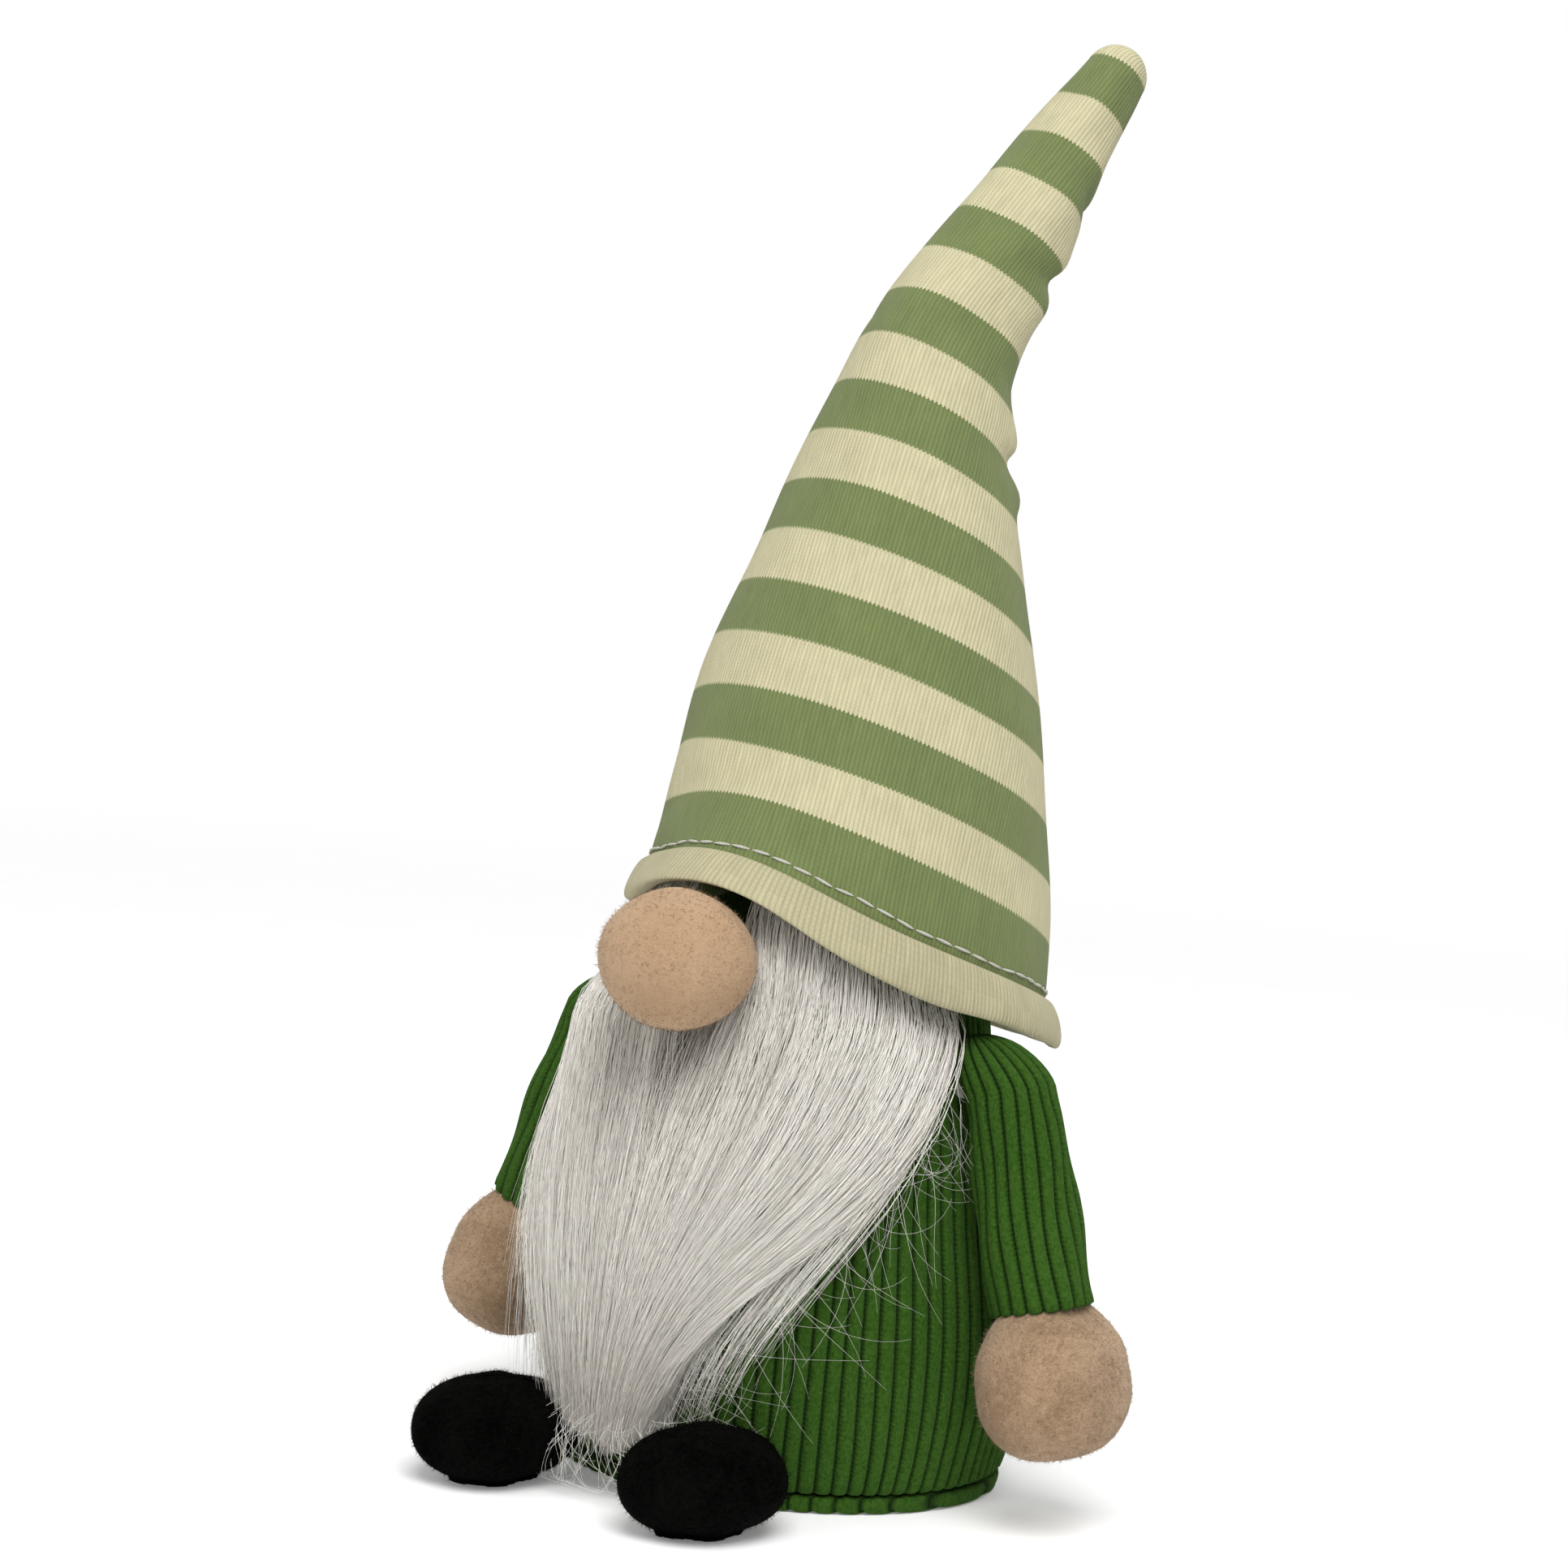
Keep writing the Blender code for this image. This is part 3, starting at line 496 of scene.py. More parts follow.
WHITE_FUR = Fur("white_fur", Slot.FUR, (0.62, 0.5), 0.10, gloss=0.3)
FUR_BACKING = PlainCloth("knit_ground", Slot.BACKING, (0.98, 0.9), 0.1,
                         light=(0.66, 0.64, 0.58), dark=(0.50, 0.48, 0.43), grain=1100.0, depth=0.3 * MM)
PALE_THREAD = Thread("pale_thread", Slot.THREAD, (0.8, 0.6))
WADDING = PlainCloth("wadding", Slot.WADDING, (0.98, 0.9), 0.2)
BAG_CLOTH = PlainCloth("bag_cloth", Slot.BAG, (0.8, 0.7),
                       light=(0.76, 0.75, 0.70), dark=(0.62, 0.61, 0.56), grain=1300.0)
BOARD = PlainCloth("grey_board", Slot.BOARD, (0.9, 0.8),
                   light=(0.42, 0.32, 0.20), dark=(0.30, 0.22, 0.13), grain=420.0)


# Meshes


def loft(name: str, rings: Array, uv: Array, marks: Mapping[str, Array] | None = None) -> bpy.types.Object:
    """A closed skin over rings of points, with a pole at each end.

    Args:
        name: The piece's name.
        rings: Points by ring and column; each ring closes on itself.
        uv: Cloth coordinates by ring and column, with one more column than the rings have.
        marks: Numbers kept on the points, by ring and column.

    Returns:
        The piece, with its faces outwards.
    """
    count, columns = rings.shape[:2]
    ends = [rings[0].mean(axis=0), rings[-1].mean(axis=0)]
    points = np.concatenate([rings.reshape(-1, 3), np.array(ends)])
    here, column = np.meshgrid(np.arange(count - 1), np.arange(columns), indexing="ij")
    here, column = here.ravel(), column.ravel()
    after = (column + 1) % columns
    quads = np.stack([here * columns + column, here * columns + after,
                      (here + 1) * columns + after, (here + 1) * columns + column], axis=1)
    quad_uv = np.stack([uv[here, column], uv[here, column + 1],
                        uv[here + 1, column + 1], uv[here + 1, column]], axis=1)
    faces = quads.tolist()
    corner_uv = [quad_uv.reshape(-1, 2)]
    turn = np.arange(columns)
    for row, pole, back in ((0, count * columns, True), (count - 1, count * columns + 1, False)):
        base = row * columns
        first, second = base + turn, base + (turn + 1) % columns
        low, high = uv[row, :-1], uv[row, 1:]
        if back:
            first, second, low, high = second, first, high, low
        faces += np.stack([first, second, np.full(columns, pole)], axis=1).tolist()
        corner_uv.append(np.stack([low, high, 0.5 * (low + high)], axis=1).reshape(-1, 2))
    mesh = bpy.data.meshes.new(name)
    mesh.from_pydata(points.tolist(), [], faces)
    keep_uv(mesh, np.concatenate(corner_uv))
    for mark, values in (marks or {}).items():
        keep_mark(mesh, mark, np.concatenate([values.ravel(), [values[0].mean(), values[-1].mean()]]))
    turn_outwards(mesh)
    return add_piece(name, mesh)


def keep_uv(mesh: bpy.types.Mesh, uv: Array) -> None:
    """Keeps cloth coordinates on a mesh's face corners."""
    mesh.uv_layers.new(name=UV_NAME).data.foreach_set("uv", uv.astype(np.float32).ravel())


def keep_mark(mesh: bpy.types.Mesh, mark: str, values: Array) -> None:
    """Keeps a named number on each of a mesh's points."""
    data = mesh.attributes.new(mark, "FLOAT", "POINT").data
    data.foreach_set("value", values.astype(np.float32).ravel())


def turn_outwards(mesh: bpy.types.Mesh) -> None:
    """Points a closed mesh's faces outwards and shades them smooth.

    Args:
        mesh: The mesh.
    """
    bm = bmesh.new()
    bm.from_mesh(mesh)
    bmesh.ops.recalc_face_normals(bm, faces=bm.faces)
    bm.to_mesh(mesh)
    bm.free()
    mesh.shade_smooth()


def add_piece(name: str, mesh: bpy.types.Mesh) -> bpy.types.Object:
    """Puts a mesh in the scene as a piece.

    Args:
        name: The piece's name.
        mesh: The mesh.

    Returns:
        The piece.
    """
    piece = bpy.data.objects.new(name, mesh)
    bpy.context.scene.collection.objects.link(piece)
    return piece


def dress(piece: bpy.types.Object, finish: Finish) -> bpy.types.Object:
    """Gives a new piece its finish.

    Args:
        piece: The piece.
        finish: What it is made of.

    Returns:
        The same piece.
    """
    piece.data.materials.clear()
    piece.data.materials.append(finish.material())
    return piece


def report(piece: bpy.types.Object) -> None:
    """Says what a piece holds."""
    piece.data.calc_loop_triangles()
    log.info("%s: %d triangles", piece.name, len(piece.data.loop_triangles))


# Recipes of Geometry Nodes


class Recipe:
    """One Geometry Nodes tree with named inputs, run once on a piece."""

    def __init__(self, name: str) -> None:
        """Makes the tree with its geometry in and out.

        Args:
            name: The tree's name.
        """
        self.tree = bpy.data.node_groups.new(name, "GeometryNodeTree")
        self.tree.interface.new_socket("Geometry", in_out="INPUT", socket_type="NodeSocketGeometry")
        self.tree.interface.new_socket("Geometry", in_out="OUTPUT", socket_type="NodeSocketGeometry")
        self.bench = Bench(self.tree)
        self.keys: dict[str, str] = {}
        self.start = self.bench.node("NodeGroupInput")

    @property
    def source(self) -> bpy.types.NodeSocket:
        """The geometry that comes in."""
        return self.start.outputs["Geometry"]

    def size(self, name: str, kind: str = "NodeSocketFloat") -> bpy.types.NodeSocket:
        """Adds a named input and gives its socket.

        Args:
            name: The input's name.
            kind: The socket's type.

        Returns:
            The input's socket.
        """
        socket = self.tree.interface.new_socket(name, in_out="INPUT", socket_type=kind)
        self.keys[name] = socket.identifier
        return self.start.outputs[name]

    def mark(self, name: str) -> bpy.types.NodeSocket:
        """The number that the points keep under a name."""
        kind = "GeometryNodeInputNamedAttribute"
        return self.bench.node(kind, {"Name": name}, data_type="FLOAT").outputs[0]

    def finish(self, geometry: bpy.types.NodeSocket) -> None:
        """Ends the tree: instances made real, and the finish set.

        Args:
            geometry: The geometry to end with.
        """
        material = self.size("Finish", "NodeSocketMaterial")
        real = self.bench.node("GeometryNodeRealizeInstances", {0: geometry})
        feeds = {"Geometry": real.outputs[0], "Material": material}
        dressed = self.bench.node("GeometryNodeSetMaterial", feeds)
        self.bench.node("NodeGroupOutput", {0: dressed.outputs[0]})

    def run(self, piece: bpy.types.Object, finish: Finish, **sizes: float) -> bpy.types.Object:
        """Runs the tree on a piece and keeps the plain mesh.

        Args:
            piece: The piece whose mesh goes in.
            finish: What the result is made of.
            sizes: Values of the named inputs, with _ for a space.

        Returns:
            The same piece with its new mesh.
        """
        modifier = piece.modifiers.new(self.tree.name, "NODES")
        modifier.node_group = self.tree
        modifier[self.keys["Finish"]] = finish.material()
        for name, value in sizes.items():
            modifier[self.keys[name.replace("_", " ").capitalize()]] = value
        bpy.context.view_layer.update()
        graph = bpy.context.evaluated_depsgraph_get()
        mesh = bpy.data.meshes.new_from_object(piece.evaluated_get(graph))
        piece.modifiers.clear()
        piece.data = mesh
        mesh.shade_smooth()
        return piece


class RibRecipe(Recipe):
    """Raises rounded ribs along a skin.

    The mark 'wale' counts ribs and 'raise' says how much of the rib stands.
    """

    def __init__(self) -> None:
        """Builds the tree."""
        super().__init__("corduroy_ribs")
        bench = self.bench
        height = self.size("Rib height")
        flatness = self.size("Flatness")
        count = self.mark("wale")
        share = self.mark("raise")
        crown = bench.sum("SUBTRACT", 1.0, bench.sum("POWER", bench.saw(count), flatness))
        lift = bench.sum("MULTIPLY", bench.sum("MULTIPLY", crown, share), height)
        normal = bench.node("GeometryNodeInputNormal").outputs[0]
        offset = bench.node("ShaderNodeVectorMath", {0: normal, "Scale": lift}, operation="SCALE").outputs[0]
        moved = bench.node("GeometryNodeSetPosition", {"Geometry": self.source, "Offset": offset})
        self.finish(moved.outputs[0])


class FuzzRecipe(Recipe):
    """Stands short loose fibres on a skin and keeps the skin with them."""

    def __init__(self) -> None:
        """Builds the tree."""
        super().__init__("brushed_fuzz")
        bench = self.bench
        density = self.size("Density")
        length = self.size("Length")
        thickness = self.size("Thickness")
        seed = self.size("Seed", "NodeSocketInt")
        scatter = bench.node("GeometryNodeDistributePointsOnFaces",
                             {"Mesh": self.source, "Density": density, "Seed": seed})
        fibre = bench.node("GeometryNodeMeshCone",
                           {"Vertices": 3, "Radius Bottom": thickness, "Depth": length})
        tilt = bench.node("FunctionNodeRandomValue",
                          {0: (-1.1, -1.1, -3.1), 1: (1.1, 1.1, 3.1), "Seed": seed},
                          data_type="FLOAT_VECTOR")
        turned = bench.node("FunctionNodeRotateRotation",
                            {0: scatter.outputs["Rotation"], 1: tilt.outputs[0]},
                            rotation_space="LOCAL")
        scale = bench.node("FunctionNodeRandomValue", {2: 0.45, 3: 1.25, "Seed": seed})
        placed = bench.node("GeometryNodeInstanceOnPoints", {
            "Points": scatter.outputs[0], "Instance": fibre.outputs[0],
            "Rotation": turned.outputs[0], "Scale": scale.outputs[1],
        })
        joined = bench.node("GeometryNodeJoinGeometry", {0: self.source})
        self.tree.links.new(placed.outputs[0], joined.inputs[0])
        self.finish(joined.outputs[0])


class StitchRecipe(Recipe):
    """Lays stitches end to end along a line."""

    def __init__(self) -> None:
        """Builds the tree."""
        super().__init__("chain_stitch")
        bench = self.bench
        pitch = self.size("Pitch")
        radius = self.size("Radius")
        curve = bench.node("GeometryNodeMeshToCurve", {0: self.source})
        even = bench.node("GeometryNodeResampleCurve",
                          {"Curve": curve.outputs[0], "Length": pitch}, mode="LENGTH")
        bead = bench.node("GeometryNodeMeshUVSphere", {"Segments": 6, "Rings": 6, "Radius": 1.0})
        half_stitch = bench.sum("MULTIPLY", pitch, 0.46)
        shape = bench.node("ShaderNodeCombineXYZ", {0: radius, 1: radius, 2: half_stitch})
        tangent = bench.node("GeometryNodeInputTangent")
        aim = bench.node("FunctionNodeAlignRotationToVector", {"Vector": tangent.outputs[0]}, axis="Z")
        wobble = bench.node("FunctionNodeRandomValue",
                            {0: (-0.09, -0.09, 0.0), 1: (0.09, 0.09, 0.0), "Seed": 5},
                            data_type="FLOAT_VECTOR")
        turned = bench.node("FunctionNodeRotateRotation",
                            {0: aim.outputs[0], 1: wobble.outputs[0]}, rotation_space="LOCAL")
        placed = bench.node("GeometryNodeInstanceOnPoints", {
            "Points": even.outputs[0], "Instance": bead.outputs[0],
            "Rotation": turned.outputs[0], "Scale": shape.outputs[0],
        })
        self.finish(placed.outputs[0])


class StrandRecipe(Recipe):
    """Turns lines of points, each with a 'radius' mark, into thin closed strands."""

    def __init__(self) -> None:
        """Builds the tree."""
        super().__init__("fur_strands")
        bench = self.bench
        width = self.size("Width")
        curve = bench.node("GeometryNodeMeshToCurve", {0: self.source})
        section = bench.node("GeometryNodeCurvePrimitiveCircle", {"Resolution": 3, "Radius": 1.0})
        tube = bench.node("GeometryNodeCurveToMesh", {
            "Curve": curve.outputs[0],
            "Profile Curve": section.outputs[0],
            "Scale": bench.sum("MULTIPLY", self.mark("radius"), width),
            "Fill Caps": True,
        })
        self.finish(tube.outputs[0])


# Forms that the pieces follow


@dataclass(frozen=True)
class BodyForm:
    """The pear of the body, by height."""

    belly_radius: float = 49.0 * MM
    belly_height: float = 22.0 * MM
    tuck: float = 3.4 * MM
    base_height: float = 3.5 * MM
    head_radius: float = 34.0 * MM
    head_height: float = 99.0 * MM
    shoulder_radius: float = 36.6 * MM
    shoulder_height: float = 84.5 * MM
    crown_rise: float = 19.0 * MM

    def radius(self, z: Any) -> Array:
        """Radius of the body's outer surface at a height.

        Args:
            z: The height above the floor.

        Returns:
            The radius.
        """
        z = np.asarray(z, float)
        low = np.clip((z - self.base_height) / (self.belly_height - self.base_height), 0.0, 1.0)
        base = self.belly_radius - self.tuck + self.tuck * np.sin(0.5 * math.pi * low)
        middle = np.clip((z - self.belly_height) / (self.shoulder_height - self.belly_height), 0.0, 1.0)
        side = mix(self.belly_radius, self.shoulder_radius, middle**1.7)
        high = np.clip((z - self.shoulder_height) / (self.head_height - self.shoulder_height), 0.0, 1.0)
        neck = mix(self.shoulder_radius, self.head_radius, high)
        rise = np.clip((z - self.head_height) / self.crown_rise, 0.0, 1.0)
        dome = self.head_radius * np.sqrt(1.0 - rise * rise)
        places = [z <= self.belly_height, z <= self.shoulder_height, z <= self.head_height]
        return np.select(places, [base, side, neck], dome)


@dataclass(frozen=True)
class HatForm:
    """The leaning cone of the hat. Heights run along its spine from the hem's lower edge."""

    length: float = 214.5 * MM
    aside: float = 1.5 * MM
    back: float = 4.5 * MM
    off_floor: float = 100.0 * MM
    form_radius: float = 42.4 * MM
    bend_radius: float = 16.4 * MM
    tip_radius: float = 6.8 * MM
    bend_at: float = 132.0 * MM
    taper_power: float = 1.38
    hem_height: float = 10.5 * MM
    nose_bulge: float = 12.0 * MM
    nose_raise: float = 8.0 * MM
    bulge_span: float = 34.0 * MM
    bulge_angle: float = math.radians(30)
    spine_lean: tuple[float, float] = (math.radians(15.0), math.radians(35.0))
    spine_side: tuple[float, float] = (math.radians(-6.0), math.radians(10.0))
    ring_lean: tuple[float, float, float] = (math.radians(13.5), math.radians(22.0), math.radians(34.0))
    ring_side: tuple[float, float, float] = (math.radians(7.0), math.radians(4.0), math.radians(10.5))
    settle: float = 22.0 * MM
    bend_span: float = 26.0 * MM

    def radius(self, s: Any) -> Array:
        """Radius of the hat's cloth at a height.

        Args:
            s: The height along the spine.

        Returns:
            The radius.
        """
        s = np.asarray(s, float)
        low = np.clip((s - self.hem_height) / (self.bend_at - self.hem_height), 0.0, 1.0)
        high = np.clip((s - self.bend_at) / (self.length - self.tip_radius - self.bend_at), 0.0, 1.0)
        cone = mix(self.form_radius, self.bend_radius, low**self.taper_power)
        return np.where(s <= self.bend_at, cone, mix(self.bend_radius, self.tip_radius, high))

    def spine(self, s: Any) -> Array:
        """Centre of the ring at a height.

        Args:
            s: The height along the spine.

        Returns:
            The centre, in the frame.
        """
        step = 2.0 * MM
        starts = np.arange(0.0, self.length + step, step)
        turn = smooth((starts + 0.5 * step - self.bend_at) / self.bend_span + 0.5)
        side = np.tan(mix(*self.spine_side, turn))
        lean = np.tan(mix(*self.spine_lean, turn))
        steps = unit(np.stack([side, lean, np.ones_like(side)], axis=1)) * step
        walked = np.concatenate([[np.zeros(3)], np.cumsum(steps, axis=0)])
        marks = np.arange(len(walked)) * step
        start = (self.aside, self.back, self.off_floor)
        return np.stack([start[i] + np.interp(s, marks, walked[:, i]) for i in range(3)], axis=-1)

    def axes(self, s: Any) -> tuple[Array, Array, Array]:
        """The ring's sideways, backward and upward axes at a height.

        Args:
            s: The height along the spine.

        Returns:
            The three axes, each of length 1.
        """
        s = np.asarray(s, float)
        settle = smooth(s / self.settle)
        along = smooth(s / self.length)
        lean = np.tan(mix(self.ring_lean[0], mix(self.ring_lean[1], self.ring_lean[2], along), settle))
        side = np.tan(mix(self.ring_side[0], mix(self.ring_side[1], self.ring_side[2], along), settle))
        up = unit(np.stack([side, lean, np.ones_like(side)], axis=-1))
        across = unit(np.stack([np.ones_like(side), np.zeros_like(side), -up[..., 0] / up[..., 2]], axis=-1))
        return across, np.cross(up, across), up

    def point(self, angle: Any, s: Any, radius: Any) -> Array:
        """A point of the hat.

        Args:
            angle: The angle round the hat.
            s: The height along the spine.
            radius: The distance from the spine.

        Returns:
            Points in the frame.
        """
        angle, s, radius = np.broadcast_arrays(angle, s, radius)
        near_hem = np.clip(1.0 - np.clip(s, 0.0, None) / self.bulge_span, 0.0, None) ** 2
        near_nose = near_hem * np.exp(-((around_gap(angle, 0.0) / self.bulge_angle) ** 2))
        grown = radius + self.nose_bulge * near_nose
        across, back, up = self.axes(s)
        x, y = grown * np.sin(angle), -grown * np.cos(angle)
        raised = self.nose_raise * near_nose
        return self.spine(s) + across * x[..., None] + back * y[..., None] + up * raised[..., None]


# Pieces


@dataclass(frozen=True)
class Fold:
    """A soft fold in the hat's cloth: where it lies, how deep, how wide and how far it runs round."""

    at: float
    angle: float
    depth: float
    width: float
    reach: float
    slant: float = 0.0

    def relief(self, angle: Array, s: Array) -> Array:
        """How far the cloth moves out at a point; the fold has a fuller roll above and below it.

        Args:
            angle: The angle round the hat.
            s: The height along the spine.

        Returns:
            The height over the plain cloth.
        """
        gap = around_gap(angle, self.angle)
        centre = self.at + self.slant * gap
        fade = np.exp(-((gap / self.reach) ** 2))
        dent = hump(s - centre, 0.0, self.width)
        rolls = hump(s - centre, 2.2 * self.width, 1.6 * self.width)
        rolls = rolls + hump(s - centre, -2.0 * self.width, 1.5 * self.width)
        return self.depth * fade * (0.45 * rolls - dent)


@dataclass(frozen=True)
class Swell:
    """A broad fullness in the stuffed hat, or a hollow where its height is below 0."""

    at: float
    span: float
    angle: float
    height: float
    reach: float = 0.9

    def relief(self, angle: Array, s: Array) -> Array:
        """How far the cloth moves out at a point."""
        gap = around_gap(angle, self.angle)
        return self.height * hump(s, self.at, self.span) * np.exp(-((gap / self.reach) ** 2))


@dataclass
class Hat:
    """The stuffed hat: one piece of striped jersey, its rolled hem and the topstitch above it."""

    form: HatForm = field(default_factory=HatForm)
    columns: int = 200
    rows: int = 168
    cloth: float = 1.2 * MM
    starts_at: float = 6.6 * MM
    lining_to: float = 44.0 * MM
    hem_top: float = 8.8 * MM
    hem_thickness: float = 3.7 * MM
    hem_flare: float = 1.8 * MM
    stitch_at: float = 10.4 * MM
    stitch_pitch: float = 4.6 * MM
    stitch_radius: float = 0.34 * MM
    seam_depth: float = 0.7 * MM
    seam_width: float = 0.035
    bend_from: float = 118.0 * MM
    bend_to: float = 146.0 * MM
    swells: tuple[Swell, ...] = (
        Swell(46.0 * MM, 22.0 * MM, math.radians(-60), 1.7 * MM),
        Swell(105.0 * MM, 16.0 * MM, math.radians(125), -1.2 * MM),
    )
    folds: tuple[Fold, ...] = (
        Fold(117.0 * MM, math.radians(128), 2.6 * MM, 3.0 * MM, math.radians(42), 5.0 * MM),
        Fold(158.0 * MM, math.radians(120), 1.7 * MM, 3.0 * MM, math.radians(45), 4.0 * MM),
        Fold(176.0 * MM, math.radians(135), 0.9 * MM, 2.6 * MM, math.radians(50), -3.0 * MM),
        Fold(100.0 * MM, math.radians(150), 1.2 * MM, 4.5 * MM, math.radians(40), -8.0 * MM),
        Fold(140.0 * MM, math.radians(-150), 1.0 * MM, 4.0 * MM, math.radians(50), 6.0 * MM),
        Fold(20.0 * MM, math.radians(-38), 0.8 * MM, 4.0 * MM, math.radians(16), 10.0 * MM),
    )

    def relief(self, angle: Array, s: Array) -> Array:
        """Fullness and folds of the stuffed cloth at each point.

        Args:
            angle: The angle round the hat.
            s: The height along the spine.

        Returns:
            The height over the plain cloth.
        """
        out = np.zeros(np.broadcast(angle, s).shape)
        for swell in self.swells:
            out += swell.relief(angle, s)
        out += 0.35 * MM * np.sin(3.0 * angle + 60.0 * s) * smooth(s / (30.0 * MM))
        out += 0.22 * MM * np.sin(5.0 * angle - 140.0 * s + 1.3) * smooth(s / (30.0 * MM))
        for fold in self.folds:
            out += fold.relief(angle, s)
        seam = around_gap(angle, math.pi)
        out -= self.seam_depth * np.exp(-((seam / self.seam_width) ** 2))
        near_tip = np.clip((self.form.length - s) / (14.0 * MM), 0.0, 1.0)
        return out * near_tip

    def build_cone(self) -> bpy.types.Object:
        """The jersey, from the hem over the tip, with its lining turned up inside.

        Returns:
            The piece.
        """
        form = self.form
        tip_starts = form.length - form.tip_radius
        sides = np.linspace(self.starts_at, tip_starts, self.rows)
        dome = np.radians(np.linspace(8.0, 84.0, 12))
        heights = np.concatenate([sides, tip_starts + form.tip_radius * np.sin(dome)])
        radii = np.concatenate([form.radius(sides), form.tip_radius * np.cos(dome)])
        lining = np.linspace(self.lining_to, self.starts_at, 12)
        lining_radii = form.radius(lining) - self.cloth
        all_heights = np.concatenate([lining, heights])
        all_radii = np.concatenate([lining_radii, radii])
        turns = np.linspace(0.0, TURN, self.columns + 1) + math.pi
        angle, s = np.meshgrid(turns[:-1], all_heights)
        radius = np.repeat(all_radii[:, None], self.columns, axis=1)
        radius = radius + self.relief(angle, s)
        rings = form.point(angle, s, radius)
        across = (turns[None, :] - turns[0] - math.pi) * all_radii[:, None]
        along = np.repeat(all_heights[:, None], self.columns + 1, axis=1)
        return loft("hat_jersey", rings, np.stack([across, along], axis=-1))

    def build_hem(self) -> bpy.types.Object:
        """The rolled cream hem, a closed ring of its own.

        Returns:
            The piece.
        """
        form = self.form
        half, flare, height = 0.5 * self.hem_thickness, self.hem_flare, self.hem_top
        steps = 30
        turn = np.linspace(0.0, TURN, steps, endpoint=False)
        up = 0.5 * (1.0 + np.sin(turn))
        s = height * (0.02 + 0.98 * up)
        bulge = np.abs(np.cos(turn)) ** 0.75 * np.sign(np.cos(turn))
        middle = form.form_radius + half * 0.55 + flare * (1.0 - up) ** 1.3
        radius = middle + bulge * half * (1.0 + 0.25 * (1.0 - up))
        columns = 260
        angles = np.linspace(0.0, TURN, columns + 1) + math.pi
        grid_angle, grid_s = np.meshgrid(angles[:-1], s)
        puff = 0.28 * MM * np.sin(9.0 * grid_angle + 0.7) + 0.16 * MM * np.sin(23.0 * grid_angle + 2.0)
        outside = np.clip(bulge, 0.0, 1.0)[:, None]
        wide = np.repeat(radius[:, None], columns, axis=1) + puff * outside
        wave = 0.35 * MM * np.sin(5.0 * grid_angle + 1.1) + 0.2 * MM * np.sin(11.0 * grid_angle)
        points = form.point(grid_angle, grid_s, wide)
        points[..., 2] += wave * (1.0 - up)[:, None]
        return ring_piece("hat_hem", points, form.form_radius, TURN)

    def build_topstitch(self) -> bpy.types.Object:
        """The stitching that holds the hem, laid on the cloth.

        Returns:
            The piece.
        """
        turns = np.linspace(0.0, TURN, 240, endpoint=False)
        s = self.stitch_at + 0.25 * MM * np.sin(4.0 * turns) + 0.12 * MM * np.sin(13.0 * turns)
        radius = self.form.radius(s) + self.relief(turns, s) + 0.45 * self.stitch_radius
        points = self.form.point(turns, s, radius)
        piece = line_piece("hat_topstitch", points[None], {}, closed=True)
        return StitchRecipe().run(piece, PALE_THREAD, pitch=self.stitch_pitch, radius=self.stitch_radius)

    def build(self) -> None:
        """Builds and dresses the three pieces, bakes the cone's placement into its mesh and puts the hem and
        the topstitch on the torso.
        """
        cone = dress(self.build_cone(), STRIPED_JERSEY)
        start, end = (Vector(self.form.spine(s)) for s in (self.bend_from, self.bend_to))
        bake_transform(cone)
        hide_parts("hat_lower", "hat_fold", "hat_upper")
        hem = dress(self.build_hem(), HEM_JERSEY_PAINTED_SHADE)
        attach(hem, "torso")
        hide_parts("hat_hem_band")
        stitch = dress(self.build_topstitch(), PALE_THREAD)
        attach(stitch, "torso")
        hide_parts("hem_topstitch")
        for piece in (cone, hem, stitch):
            report(piece)


def ring_piece(name: str, points: Array, radius: float, turn: float) -> bpy.types.Object:
    """A closed ring from its section's points, by section and column.

    Args:
        name: The piece's name.
        points: Points by section step and column, both closing on themselves.
        radius: The ring's radius, for the cloth coordinates.
        turn: The angle that the columns go through.

    Returns:
        The piece.
    """
    steps, columns = points.shape[:2]
    row, column = np.meshgrid(np.arange(steps), np.arange(columns), indexing="ij")
    row, column = row.ravel(), column.ravel()
    after, above = (column + 1) % columns, (row + 1) % steps
    faces = np.stack([row * columns + column, row * columns + after,
                      above * columns + after, above * columns + column], axis=1)
    around = np.linspace(0.0, turn * radius, columns + 1)
    girth = np.linalg.norm(np.diff(np.concatenate([points[:, 0], points[:1, 0]]), axis=0), axis=1)
    along = np.concatenate([[0.0], np.cumsum(girth)])
    corners = [(around[column], along[row]), (around[column + 1], along[row]),
               (around[column + 1], along[row + 1]), (around[column], along[row + 1])]
    uv = np.stack([np.stack(corner, axis=-1) for corner in corners], axis=1)
    mesh = bpy.data.meshes.new(name)
    mesh.from_pydata(points.reshape(-1, 3).tolist(), [], faces.tolist())
    keep_uv(mesh, uv)
    turn_outwards(mesh)
    return add_piece(name, mesh)


def line_piece(name: str, lines: Array, marks: Mapping[str, Array], closed: bool = False) -> bpy.types.Object:
    """Lines of points as a mesh of edges.

    Args:
        name: The piece's name.
        lines: Points by line and step.
        marks: Numbers kept on the points, by line and step.
        closed: Whether each line closes on itself.

    Returns:
        The piece.
    """
    count, steps = lines.shape[:2]
    base = np.arange(count)[:, None] * steps
    ends = steps if closed else steps - 1
    first = np.arange(ends)[None, :]
    edges = np.stack([base + first, base + (first + 1) % steps], axis=-1).reshape(-1, 2)
    mesh = bpy.data.meshes.new(name)
    mesh.from_pydata(lines.reshape(-1, 3).tolist(), edges.tolist(), [])
    for mark, values in marks.items():
        keep_mark(mesh, mark, values)
    return add_piece(name, mesh)


